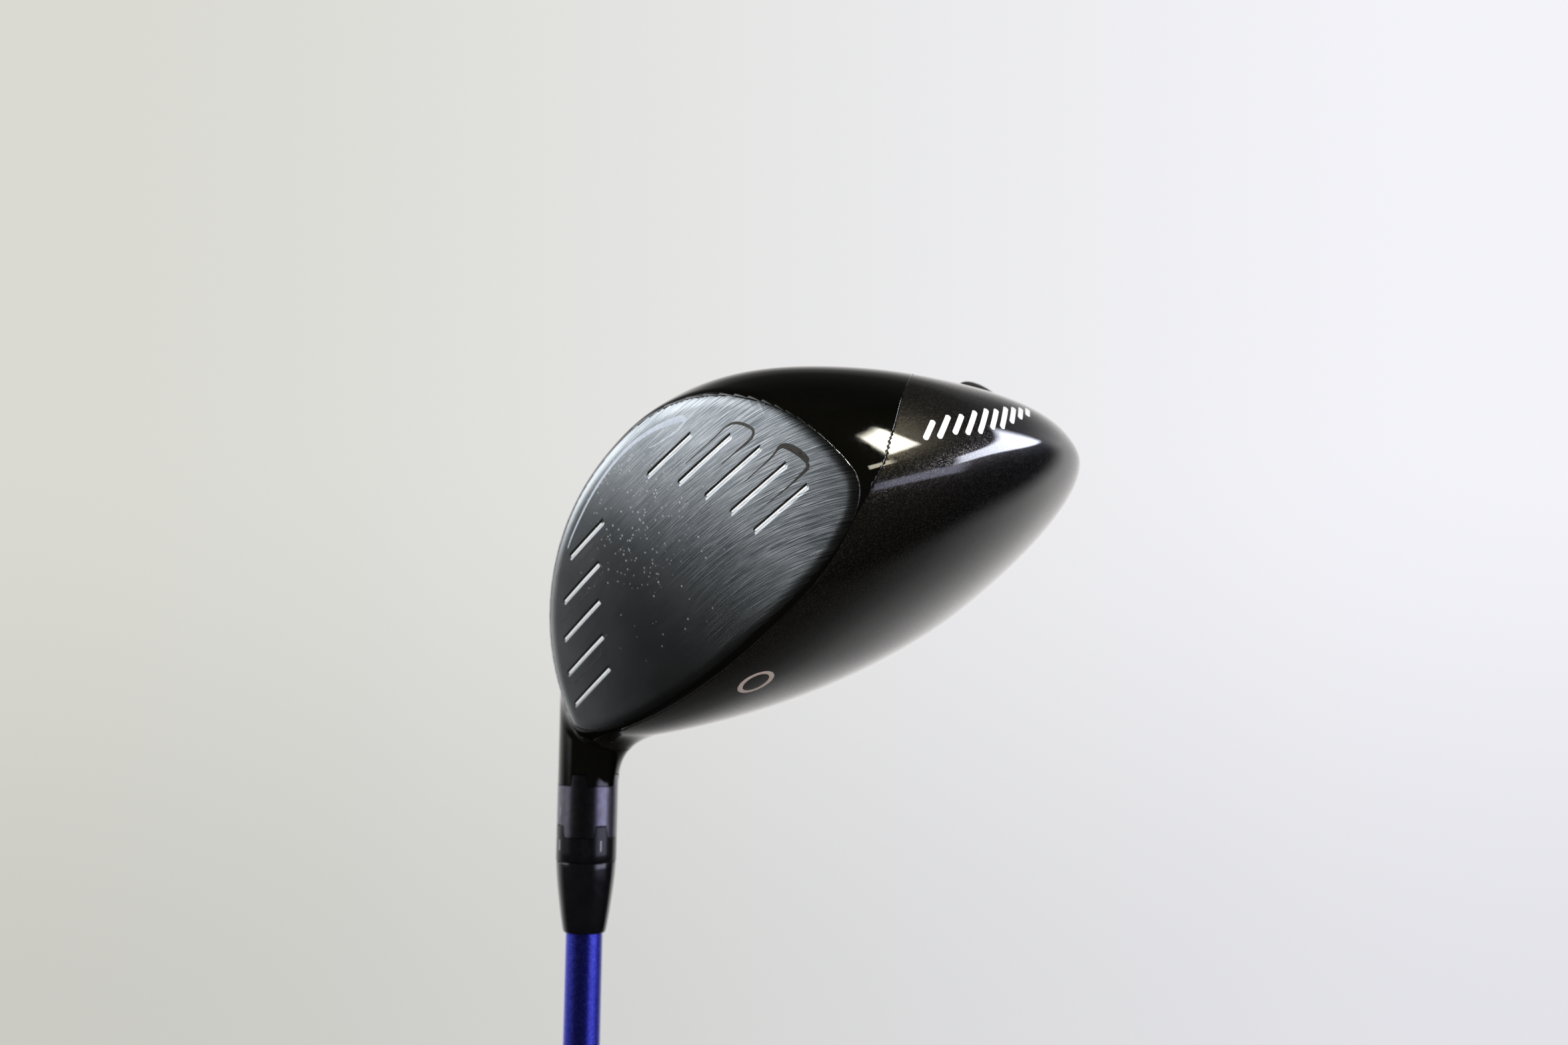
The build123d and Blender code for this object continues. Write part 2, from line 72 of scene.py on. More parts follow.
# size: greatest half-size, reached at y_full; power and root: how it closes behind that;
# narrow: how much it shrinks ahead of it
TOE = dict(size=57.879, y_full=42.194, power=2.471, root=2.394, narrow=.264)
HEEL = dict(size=61.041, y_full=16.404, power=1.401, root=2.024, narrow=.172)
TOP = dict(size=18.397, y_full=28.867, power=2.136, root=1.956, narrow=.201)
BOTTOM = dict(size=45.216, y_full=14.762, power=1.355, root=1.85, narrow=.093)
# Superellipse exponents of each quarter of the section: front, rear
EXP_TOE_TOP, EXP_TOE_BOTTOM = (2.494, 2.009), (2.05, 2.052)
EXP_HEEL_TOP, EXP_HEEL_BOTTOM = (1.804, 2.01), (2.243, 2.324)
HULL_COLS, HULL_ROWS, HULL_FRONT = 720, 300, -20.0

# Blends between hull, face ball and neck
EDGE_BLEND = 2.2
NECK_BLEND, NECK_BLEND_EXTRA = 3.2, 8.6         # the extra is added towards WIDE_SIDE
WIDE_SIDE = np.array([-0.80, 0.60, 0.0])
WIDE_SIDE -= AXIS * (WIDE_SIDE @ AXIS)
WIDE_SIDE /= np.linalg.norm(WIDE_SIDE)

# Seam between front body and rear shells, from the face centre: y, z
SEAM = np.array([
    (8.3, 60), (8.3, 40), (8.4, 30), (8.7, 24), (9.2, 18.5), (10.3, 16), (12.1, 13.4),
    (14.2, 10.3), (16.6, 6.5), (19.2, 3.0), (24.2, -3.3), (28.9, -7.9), (34.3, -12.4),
    (41, -17.2), (49, -22), (58, -26.8), (69, -31.5), (84, -37), (110, -46), (150, -60)], float)
SEAM_Y, SEAM_Z = SEAM[::-1].T
GAP = 0.045                                     # left open along the seams
FAR = 30.0                                      # stands for "nowhere near" in the cutting fields

TUBE_OUT = np.array([-0.965, -0.05, -0.257])    # weight tube, pointing out of the toe
TUBE_OUT /= np.linalg.norm(TUBE_OUT)
TUBE_MOUTH = FACE_O + np.array([-49.5, 69.0, -17.6])


# ------------------------------------------------------------------ arithmetic
def unit(v):
    return v / (np.linalg.norm(v, axis=-1, keepdims=True) + 1e-12)


def lerp(ends, f):
    return ends[0] + (ends[1] - ends[0]) * f


def sstep(x, a, b):
    x = np.clip((x - a) / (b - a), 0, 1)
    return x * x * (3 - 2 * x)


def smax(a, b, width):
    """Maximum with a rounded corner."""
    q = np.maximum(width - np.abs(a - b), 0) / width
    return np.maximum(a, b) + width * q * q / 4


def smin(a, b, width):
    return -smax(-a, -b, width)


def gauss(sigma):
    reach = int(3 * sigma) + 1
    k = np.exp(-0.5 * (np.arange(-reach, reach + 1) / sigma) ** 2)
    return k / k.sum(), reach


def solve(fun, lo, hi, count, steps=26):
    """Root of a rising function by bisection, for many points at once."""
    a, b = np.full(count, float(lo)), np.full(count, float(hi))
    for _ in range(steps):
        mid = (a + b) / 2
        value = fun(mid)
        a = np.where(value < 0, mid, a)
        b = np.where(value < 0, b, mid)
    return (a + b) / 2


def hermite(x, xp, fp):
    """Smooth curve through the points (xp, fp), xp rising."""
    m = np.gradient(fp, xp)
    i = np.clip(np.searchsorted(xp, x) - 1, 0, len(xp) - 2)
    h = xp[i + 1] - xp[i]
    t = np.clip((x - xp[i]) / h, 0, 1)
    return ((2 * t ** 3 - 3 * t ** 2 + 1) * fp[i] + (t ** 3 - 2 * t ** 2 + t) * h * m[i]
            + (-2 * t ** 3 + 3 * t ** 2) * fp[i + 1] + (t ** 3 - t ** 2) * h * m[i + 1])


def turn(segments):
    """Evenly spaced angles of a full turn."""
    return np.linspace(0, 2 * np.pi, segments, endpoint=False)


def around(angles):
    """Directions square to the shaft axis."""
    return np.cos(angles)[..., None] * AXIS_X + np.sin(angles)[..., None] * AXIS_Y


def axis_coords(p):
    """Height t, radial vector and radius r about the shaft axis."""
    q = p - AXIS_O
    t = q @ AXIS
    radial = q - t[..., None] * AXIS
    return t, radial, np.linalg.norm(radial, axis=-1)


# ------------------------------------------------------------------ hull
def half_size(y, size, y_full, power, root, narrow):
    u = np.clip((y - y_full) / (HULL_LEN - y_full), 0, 1)
    v = np.clip((y_full - y) / y_full, 0, 2.2)
    closing = np.maximum(1 - u ** power, 1e-12) ** (1 / root)
    return size * np.where(y > y_full, closing, 1 - narrow * v * v)


def hull_points(y, phi):
    """Superellipse sections; phi runs from the heel over the top to the toe and underneath."""
    t = np.clip(y / HULL_LEN, -.2, 1)
    rear = np.maximum(t, 0)
    z0, z1, z2 = CENTRE_Z
    centre_x = lerp(CENTRE_X, t)
    centre_z = z0 * (1 - t) * (1 - 2 * t) + z1 * 4 * t * (1 - t) + z2 * t * (2 * t - 1)
    c, s = np.cos(phi), np.sin(phi)
    n = np.where(c < 0,
                 np.where(s > 0, lerp(EXP_TOE_TOP, rear), lerp(EXP_TOE_BOTTOM, rear)),
                 np.where(s > 0, lerp(EXP_HEEL_TOP, rear), lerp(EXP_HEEL_BOTTOM, rear)))
    wide = np.where(c < 0, half_size(y, **TOE), half_size(y, **HEEL))
    tall = np.where(s > 0, half_size(y, **TOP), half_size(y, **BOTTOM))
    return FACE_O + np.stack([centre_x + wide * np.sign(c) * np.abs(c) ** (2 / n),
                              y + 0 * c,
                              centre_z + tall * np.sign(s) * np.abs(s) ** (2 / n)], -1)


def smooth_around(P, sigma):
    k, reach = gauss(sigma)
    return sum(w * np.roll(P, i - reach, axis=1) for i, w in enumerate(k))


def smooth_along(P, sigma):
    k, reach = gauss(sigma)
    n, m = P.shape[:2]
    back = np.roll(P[n - 1 - reach:n - 1][::-1], m // 2, axis=1)
    front = 2 * P[:1] - P[1:reach + 1][::-1]
    E = np.concatenate([front, P, back], 0)
    return sum(w * E[i:i + n] for i, w in enumerate(k))


def fair(P):
    """Smooth both ways and give back the shrinkage; fades out lengthwise near the rear pole."""
    n = len(P)
    fade = np.clip((n - 1 - np.arange(n)) / 45.0, 0, 1)[:, None, None]
    fade = fade * fade * (3 - 2 * fade)

    def smooth(Q):
        Q = smooth_around(Q, 11.0)
        return Q + fade * (smooth_along(Q, 9.0) - Q)
    Q = smooth(P)
    return Q + smooth(P - Q)


def hull_grid():
    y = HULL_FRONT + (HULL_LEN - HULL_FRONT) * np.sin(np.linspace(0, np.pi / 2, HULL_ROWS))
    y[-1] = HULL_LEN - 1e-6
    phi = np.broadcast_to(turn(HULL_COLS), (HULL_ROWS, HULL_COLS))
    grid = fair(hull_points(np.repeat(y[:, None], HULL_COLS, 1), phi))
    grid[-1] = grid[-1].mean(0)
    return grid


def grid_normals(P):
    """Outward normals of a hull-like grid, flattened."""
    across = np.roll(P, -1, axis=1) - np.roll(P, 1, axis=1)
    along = np.empty_like(P)
    along[1:-1] = P[2:] - P[:-2]
    along[0] = P[1] - P[0]
    along[-1] = P[-1] - P[-2]
    n = np.cross(along, across)
    n[-1] = n[-2].mean(0)
    return unit(n).reshape(-1, 3)


def grid_quads(rows, cols, wrap):
    i = np.arange(rows - 1)[:, None]
    j = np.arange(cols if wrap else cols - 1)[None]
    j2 = (j + 1) % cols
    quads = [i * cols + j, i * cols + j2, (i + 1) * cols + j2, (i + 1) * cols + j]
    return np.stack(quads, -1).reshape(-1, 4)


def tree_of(points):
    return BVHTree.FromPolygons([Vector(p) for p in points], HULL_QUADS.tolist())


hull_surface = hull_grid()
HULL_QUADS = grid_quads(HULL_ROWS, HULL_COLS, True)
HULL_P = hull_surface.reshape(-1, 3)
HULL_N = grid_normals(hull_surface)
hull_tree = tree_of(HULL_P)


def hull_dist(P):
    """Signed distance to the hull and the hull's outward normal near the closest point."""
    dist, normal = np.empty(len(P)), np.empty((len(P), 3))
    for i, p in enumerate(P):
        near, _, quad, d = hull_tree.find_nearest(Vector(p))
        n = HULL_N[HULL_QUADS[quad][0]]
        dist[i] = d if (np.array(p) - np.array(near)) @ n >= 0 else -d
        normal[i] = n
    return dist, normal


# ------------------------------------------------------------------ blended head surface
def ball_dist(p):
    return np.linalg.norm(p - BALL_C, axis=-1) - BALL_R


def neck_dist(t, r):
    """Distance to the neck's cylinder, which fades away below t = 0."""
    return r - HOSEL_R + 30 * sstep(-t, 0, 8)


def blended(p, hull):
    """Field of the whole head, given the distance to the hull."""
    t, radial, r = axis_coords(p)
    head = smax(hull, ball_dist(p), EDGE_BLEND)
    wide = sstep((radial @ WIDE_SIDE) / (r + 1e-9), -0.35, 0.75)
    return smin(head, neck_dist(t, r), NECK_BLEND + NECK_BLEND_EXTRA * wide)


def slide(start, along, hull, hull_n, offset, lo, hi):
    """Offsets that put the points on the blend, and how fast the hull distance grows.
    hull and hull_n hold at the given offset; the distance is taken as linear about it."""
    slope = (hull_n * along).sum(1)

    def field(d):
        return blended(start + d[:, None] * along, hull + (d - offset) * slope)
    return solve(field, lo, hi, len(start)), slope


# ------------------------------------------------------------------ meshes
class Mesh:
    """Rows of A hold x y z nx ny nz and further values; Q holds quads, P loose polygons."""

    def __init__(self, A, Q, P=()):
        self.A, self.Q, self.P = A, Q, list(P)

    def clip(self, f):
        """Keep the part where the per-vertex value f is not negative."""
        keep = f >= 0
        quad_keep = keep[self.Q]
        whole, some = quad_keep.all(1), quad_keep.any(1)
        mixed = self.Q[some & ~whole].tolist() + [p for p in self.P if keep[p].any()]
        cut, new, polys = {}, [], []
        for poly in mixed:
            if all(keep[i] for i in poly):
                polys.append(poly)
                continue
            out = []
            for a, b in zip(poly, poly[1:] + poly[:1]):
                if keep[a]:
                    out.append(a)
                if keep[a] != keep[b]:
                    key = (a, b) if a < b else (b, a)
                    if key not in cut:
                        fa, fb = f[key[0]], f[key[1]]
                        w = min(max(fa / (fa - fb), 1e-4), 1 - 1e-4)
                        cut[key] = len(self.A) + len(new)
                        new.append(self.A[key[0]] * (1 - w) + self.A[key[1]] * w)
                    out.append(cut[key])
            if len(out) >= 3:
                polys.append(out)
        A = np.vstack([self.A, np.array(new)]) if new else self.A
        return Mesh(A, self.Q[whole], polys).compact()

    def where(self, field):
        """Keep the part where field(points) is not negative."""
        return self.clip(field(self.A[:, :3]))

    def compact(self):
        used = np.zeros(len(self.A), bool)
        used[self.Q.ravel()] = True
        for p in self.P:
            used[p] = True
        idx = np.cumsum(used) - 1
        return Mesh(self.A[used], idx[self.Q], [[int(idx[i]) for i in p] for p in self.P])

    def boundary(self):
        """Directed edges used by one face only."""
        e = [np.stack([self.Q[:, i], self.Q[:, (i + 1) % 4]], 1) for i in range(4)]
        loose = [(p[i], p[(i + 1) % len(p)]) for p in self.P for i in range(len(p))]
        if loose:
            e.append(np.array(loose))
        e = np.concatenate(e)
        lo, hi = np.minimum(e[:, 0], e[:, 1]), np.maximum(e[:, 0], e[:, 1])
        _, inv, uses = np.unique(lo.astype(np.int64) * len(self.A) + hi,
                                 return_inverse=True, return_counts=True)
        return e[uses[inv] == 1]


def emit(name, V, quads, polys=(), loop_normals=None, uv=None):
    """Blender object from millimetre vertices."""
    me = bpy.data.meshes.new(name)
    sizes = np.array([4] * len(quads) + [len(p) for p in polys], np.int32)
    loops = [np.asarray(quads, np.int64).ravel()] + [np.asarray(p) for p in polys]
    loops = np.concatenate(loops).astype(np.int32)
    me.vertices.add(len(V))
    me.vertices.foreach_set("co", (np.asarray(V) * MM).ravel().astype(np.float32))
    me.loops.add(len(loops))
    me.loops.foreach_set("vertex_index", loops)
    me.polygons.add(len(sizes))
    starts = np.concatenate([[0], np.cumsum(sizes)[:-1]]).astype(np.int32)
    me.polygons.foreach_set("loop_start", starts)
    me.update(calc_edges=True)
    me.polygons.foreach_set("use_smooth", np.ones(len(sizes), bool))
    if uv is not None:
        layer = me.uv_layers.new(name="map")
        layer.data.foreach_set("uv", uv[loops].ravel().astype(np.float32))
    if loop_normals is not None:
        me.normals_split_custom_set([tuple(n) for n in loop_normals])
    me.validate()
    obj = bpy.data.objects.new(name, me)
    bpy.context.scene.collection.objects.link(obj)
    return obj


def shell(name, mesh, thick, bevel=0.0, uv=None):
    """Closed shell: outer skin, inner skin and rim. bevel eases the rim's outer edge."""
    V, N = mesh.A[:, :3].copy(), unit(mesh.A[:, 3:6])
    inner, inner_n = V - thick * N, -N
    edges = mesh.boundary()
    if bevel > 0:
        # sink the edge and lean its normals outwards along the surface
        away = np.cross(V[edges[:, 1]] - V[edges[:, 0]], N[edges[:, 0]])
        total = np.zeros_like(V)
        np.add.at(total, edges[:, 0], away)
        np.add.at(total, edges[:, 1], away)
        rim_v = np.unique(edges)
        V[rim_v] -= bevel * N[rim_v]
        N[rim_v] = unit(N[rim_v] + 0.75 * unit(total[rim_v]))
    n = len(V)
    both = np.vstack([V, inner])
    Q, P = mesh.Q, mesh.P
    inner_P = [[i + n for i in p][::-1] for p in P]
    rim = np.stack([edges[:, 1], edges[:, 0], edges[:, 0] + n, edges[:, 1] + n], 1)
    rim_n = unit(np.cross(both[rim[:, 1]] - both[rim[:, 0]], both[rim[:, 3]] - both[rim[:, 0]]))
    normals = [N[Q.ravel()], inner_n[Q[:, ::-1].ravel()], np.repeat(rim_n, 4, 0)]
    normals += [N[p] for p in P] + [inner_n[p[::-1]] for p in P]
    return emit(name, both, np.vstack([Q, (Q + n)[:, ::-1], rim]), P + inner_P,
                np.concatenate(normals), None if uv is None else np.vstack([uv, uv]))


def tidy(obj, sharp, weld=None):
    """Weld within a distance in metres, face everything outwards, mark edges over an angle."""
    bm = bmesh.new()
    bm.from_mesh(obj.data)
    if weld:
        bmesh.ops.remove_doubles(bm, verts=bm.verts, dist=weld)
    bmesh.ops.recalc_face_normals(bm, faces=bm.faces)
    bm.to_mesh(obj.data)
    bm.free()
    obj.data.set_sharp_from_angle(angle=math.radians(sharp))


# ------------------------------------------------------------------ skin of the head
def skin_surface():
    """Hull points moved along their normals onto the blend, with the sole's flat."""
    offset = solve(lambda d: blended(HULL_P + d[:, None] * HULL_N, d), -7, 7, len(HULL_P))
    points = HULL_P + offset[:, None] * HULL_N
    low = points[:, 2] < 2.0
    points[low, 2] = smax(points[low, 2], 0.0, 0.25)
    normals = grid_normals(points.reshape(HULL_ROWS, HULL_COLS, 3))
    t, _, r = axis_coords(points)
    beyond_ball = offset - ball_dist(points)
    beyond_neck = neck_dist(t, r) - offset
    A = np.hstack([points, normals, beyond_ball[:, None], beyond_neck[:, None]])
    mesh = Mesh(A, HULL_QUADS[:, ::-1])
    mesh = mesh.clip(mesh.A[:, 6])
    return mesh.clip(mesh.A[:, 7]), points, normals


skin, SKIN_P, SKIN_N = skin_surface()


# Cutting fields, positive outside the thing they are named after
def behind_seam(V):
    z = V[:, 2] - FACE_O[2]
    y = hermite(z, SEAM_Z, SEAM_Y)
    slope = (hermite(z + .1, SEAM_Z, SEAM_Y) - y) / .1
    return (V[:, 1] - FACE_O[1] - y) / np.sqrt(1 + slope * slope)


def neck_foot(V):
    t, _, r = axis_coords(V)
    return np.where(t > -2, r - 10.4, FAR)


def rear_sole(V):
    return V[:, 2] - FACE_O[2] - (-24.0 + (V[:, 1] - FACE_O[1] - 50) * 0.11)


def tube_hole(V):
    q = V - TUBE_MOUTH
    t = q @ TUBE_OUT
    r = np.linalg.norm(q - t[:, None] * TUBE_OUT, axis=1)
    return np.where(t > -30, r - 7.53, FAR)


def sole_slot(V):
    x = np.abs(V[:, 0] - (FACE_O[0] + 0.8)) - 24.3
    y = np.abs(V[:, 1] - (FACE_O[1] + 9.0)) - 2.6
    return np.where(V[:, 2] < FACE_O[2] - 8, np.maximum(x, y), FAR)


def well_hole(V):
    t, _, r = axis_coords(V)
    return np.where(t < -8, r - WELL_R, FAR)


back_field = np.minimum(behind_seam(skin.A[:, :3]), neck_foot(skin.A[:, :3]))
rear = skin.clip(back_field - GAP)
front = skin.clip(-back_field).where(sole_slot).where(well_hole)
crown = rear.where(rear_sole).where(tube_hole)
sole = rear.where(lambda V: -rear_sole(V) - GAP).where(tube_hole)
# strip that fills the sole slot, a hair below the skin
strip = skin.where(lambda V: -sole_slot(V) - 0.09)
strip.A[:, :3] -= 0.16 * strip.A[:, 3:6]


# ------------------------------------------------------------------ neck
def off_quarter(degrees, start):
    """Angle from the nearest of four directions a quarter turn apart."""
    return (degrees - start + 45) % 90 - 45


def neck_notches(V):
    """Positive outside the four trapezoid notches at the top of the neck."""
    wide_low, wide_high, t_low, t_high = 3.6, 4.4, 21.2, 24.9
    t, radial, r = axis_coords(V)
    angle = np.degrees(np.arctan2(radial @ AXIS_Y, radial @ AXIS_X))
    x = np.abs(np.radians(off_quarter(angle, NOTCH_START))) * r
    width = wide_low + (wide_high - wide_low) * (t - t_low) / (t_high - t_low)
    return np.maximum(x - width / 2, t_low - t)


def neck_surface():
    """Cylinder points moved outward onto the blend."""
    rows, cols = 110, 240
    heights = np.linspace(-3.0, HOSEL_TOP - 0.02, rows)
    out = around(turn(cols))
    start = (AXIS_O + heights[:, None, None] * AXIS + HOSEL_R * out[None]).reshape(-1, 3)
    out = np.broadcast_to(out, (rows, cols, 3)).reshape(-1, 3)
    hull, hull_n = hull_dist(start)
    offset = np.zeros(len(start))
    for _ in range(3):
        offset, _slope = slide(start, out, hull, hull_n, offset, -0.5, 9)
        points = start + offset[:, None] * out
        hull, hull_n = hull_dist(points)
    outside_head = smax(hull, ball_dist(points), EDGE_BLEND) - offset
    grid = points.reshape(rows, cols, 3)
    across = np.roll(grid, -1, axis=1) - np.roll(grid, 1, axis=1)
    normals = unit(np.cross(across, np.gradient(grid, axis=0))).reshape(-1, 3)
    A = np.hstack([points, normals, outside_head[:, None]])
    mesh = Mesh(A, grid_quads(rows, cols, True))
    return mesh.clip(mesh.A[:, 6]).where(neck_notches)


neck = neck_surface()

# ------------------------------------------------------------------ face plate and score lines
# Places on the face: u along x, w up the face, both from its centre
LINE_PITCH, LINE_MIDDLE = 6.576, -3.50
LINE_HALF, LINE_DEPTH = 0.23, 0.24
LIP = 0.05                              # width of the eased edge of a score line
FACE_STEP, FACE_MERGE = 0.55, 0.2       # grid step, and the closest two grid lines may lie
# Ends of the score lines in u, top line first
LINES_HEEL = ((45.7, 28.7), (42.3, 25.4), (37.7, 20.9), (31.5, 15.6), (22.7, 8.6))
LINES_TOE = ((-27.2, -43.4), (-24.5, -41.6), (-20.9, -38.3), (-16.3, -33.3), (-9.8, -24.7))
score_lines = [(min(ends), max(ends), LINE_MIDDLE + LINE_PITCH * (2 - i))
               for side in (LINES_HEEL, LINES_TOE) for i, ends in enumerate(side)]


def grid_lines(lo, hi, fixed):
    """Even grid values that give way to the fixed ones."""
    kept = set(round(v, 4) for v in fixed)
    out = []
    for v in sorted(list(np.arange(lo, hi, FACE_STEP)) + fixed):
        close = out and v - out[-1] < FACE_MERGE
        if close and round(v, 4) not in kept:
            continue
        if close and round(out[-1], 4) not in kept:
            out[-1] = v
        elif not out or v - out[-1] > 1e-3:
            out.append(v)
    return np.array(out)


def face_point(u, w):
    p = FACE_O + u[:, None] * np.array([1.0, 0, 0]) + w[:, None] * FACE_UP
    return BALL_C + BALL_R * unit(p - BALL_C)


def face_surface():
    fixed_u = [x for a, b, _ in score_lines for x in (a - LIP, a + .02, b - .02, b + LIP)]
    fixed_w = [x for _, _, w in score_lines
               for x in (w - LINE_HALF - LIP, w - LINE_HALF + .01,
                         w + LINE_HALF - .01, w + LINE_HALF + LIP, w)]
    us, ws = grid_lines(-57, 56.01, fixed_u), grid_lines(-34, 32.01, fixed_w)
    rows, cols = len(ws), len(us)
    U, W = (g.ravel() for g in np.meshgrid(us, ws))
    start = face_point(U, W)
    out = unit(start - BALL_C)
    hull, hull_n = hull_dist(start)
    offset = np.zeros(len(start))
    for _ in range(2):
        moved, slope = slide(start, out, hull, hull_n, offset, -3, 4)
        near = np.abs(hull) < 6
        hull = hull + (moved - offset) * slope
        hull[near], hull_n[near] = hull_dist(start[near] + moved[near, None] * out[near])
        offset = moved
    points = start + offset[:, None] * out
    t, _, r = axis_coords(points)
    within_hull = offset - hull
    beyond_neck = neck_dist(t, r) - smax(offset, hull, EDGE_BLEND)
    grid = points.reshape(rows, cols, 3)
    normals = np.cross(np.gradient(grid, axis=1), np.gradient(grid, axis=0))
    normals = unit(normals).reshape(-1, 3)
    # press the score lines in and lean the normals of their long edges inwards
    depth, lean = np.zeros(len(points)), np.zeros((len(points), 3))
    for a, b, w in score_lines:
        depth[(np.abs(W - w) <= LINE_HALF + 1e-6) & (U >= a) & (U <= b)] = LINE_DEPTH
        edge = ((np.abs(np.abs(W - w) - (LINE_HALF + LIP)) < 1e-3)
                & (U >= a - LIP - .01) & (U <= b + LIP + .01))
        lean[edge] += -np.sign(W[edge] - w)[:, None] * FACE_UP * 0.8
    points = points - depth[:, None] * normals
    extra = np.stack([within_hull, beyond_neck, U, W], 1)
    A = np.hstack([points, unit(normals + lean), extra])
    mesh = Mesh(A, grid_quads(rows, cols, False))
    mesh = mesh.clip(mesh.A[:, 6])
    return mesh.clip(mesh.A[:, 7])


face = face_surface()
# brushed direction: streaks bend towards the crown on the toe side
face_u, face_w = face.A[:, 8], face.A[:, 9]
bend = 0.0046 * (np.minimum(face_u + 8, 0)) ** 2 * (0.65 + 0.022 * face_w)
face_uv = np.stack([face_u * 0.01, (face_w - bend) * 0.01], 1)

face_o = shell("face_plate_visual", face, thick=2.6, bevel=0.07, uv=face_uv)
front_o = shell("front_body_visual", front, thick=1.1, bevel=0.07)
neck_o = shell("hosel_neck_visual", neck, thick=0.9)
crown_o = shell("crown_skirt_visual", crown, thick=0.9, bevel=0.07)
sole_o = shell("rear_sole_visual", sole, thick=0.9, bevel=0.07)
strip_o = shell("channel_insert_visual", strip, thick=3.2, bevel=0.12)
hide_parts("channel_insert")
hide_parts("face_plate")
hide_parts("front_body")
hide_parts("crown_skirt_shell")
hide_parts("rear_sole_shell")


# ------------------------------------------------------------------ bands laid on surfaces
def band(path, normals, width, lift, thick, closed=False, round_ends=True):
    """Thin strip along a path, slightly crowned, as vertices and faces."""
    n = len(path)
    if closed:
        along = unit(np.roll(path, -1, 0) - np.roll(path, 1, 0))
    else:
        along = unit(np.gradient(path, axis=0))
    side = unit(np.cross(along, normals))
    half = np.zeros(n) + np.asarray(width) / 2.0
    if round_ends and not closed:
        s = np.concatenate([[0], np.cumsum(np.linalg.norm(np.diff(path, axis=0), axis=1))])
        near_end = np.clip(np.minimum(s, s[-1] - s) / (half + 1e-9), 0, 1)
        half = half * np.sqrt(np.clip(1 - (1 - near_end) ** 2, 0.02, 1))
    rows = [path + side * (half * a)[:, None] + normals * (lift - 0.25 * thick * a * a)
            for a in (-1, -.5, 0, .5, 1)]
    rows.append(path + side * half[:, None] + normals * (lift - thick))
    rows.append(path - side * half[:, None] + normals * (lift - thick))
    V = np.stack(rows, 1)
    m = V.shape[1]
    faces = []
    for i in range(n if closed else n - 1):
        i2 = (i + 1) % n
        for k in range(m):
            k2 = (k + 1) % m
            faces.append([i * m + k, i * m + k2, i2 * m + k2, i2 * m + k])
    if not closed:
        faces.append(list(range(m))[::-1])
        faces.append([(n - 1) * m + k for k in range(m)])
    return V.reshape(-1, 3), faces


def join_bands(name, bands):
    verts, faces, start = [], [], 0
    for V, band_faces in bands:
        verts.append(V)
        faces += [[i + start for i in f] for f in band_faces]
        start += len(V)
    obj = emit(name, np.vstack(verts), np.array([f for f in faces if len(f) == 4]),
               [f for f in faces if len(f) != 4])
    tidy(obj, sharp=40)
    return obj


def score_fill(a, b, w):
    """Paint in the bottom of one score line."""
    P = face_point(np.linspace(a + .03, b - .03, 60), np.full(60, w))
    return band(P, unit(P - BALL_C), 2 * LINE_HALF - 0.03, lift=-0.03, thick=0.19,
                round_ends=False)


paint_o = join_bands("scoreline_paint_visual", [score_fill(*line) for line in score_lines])
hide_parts("scoreline_paint")


def smooth_path(points, count):
    """Catmull-Rom curve through the points, evenly spaced."""
    p = np.asarray(points, float)
    p = np.vstack([2 * p[0] - p[1], p, 2 * p[-1] - p[-2]])
    out = []
    for a, b, c, d in zip(p, p[1:], p[2:], p[3:]):
        for t in np.linspace(0, 1, 24, endpoint=False):
            out.append(0.5 * (2 * b + (c - a) * t + (2 * a - 5 * b + 4 * c - d) * t * t
                              + (3 * b - a - 3 * c + d) * t ** 3))
    out.append(p[-2])
    out = np.array(out)
    s = np.concatenate([[0], np.cumsum(np.linalg.norm(np.diff(out, axis=0), axis=1))])
    even = np.linspace(0, s[-1], count)
    return np.stack([np.interp(even, s, out[:, k]) for k in range(out.shape[1])], 1)


def face_line(count, points, widths):
    u, w = smooth_path(points, count).T
    P = face_point(u, w)
    width = np.interp(np.linspace(0, 1, count), np.linspace(0, 1, len(widths)), widths)
    return band(P, unit(P - BALL_C), width, lift=0.010, thick=0.04)


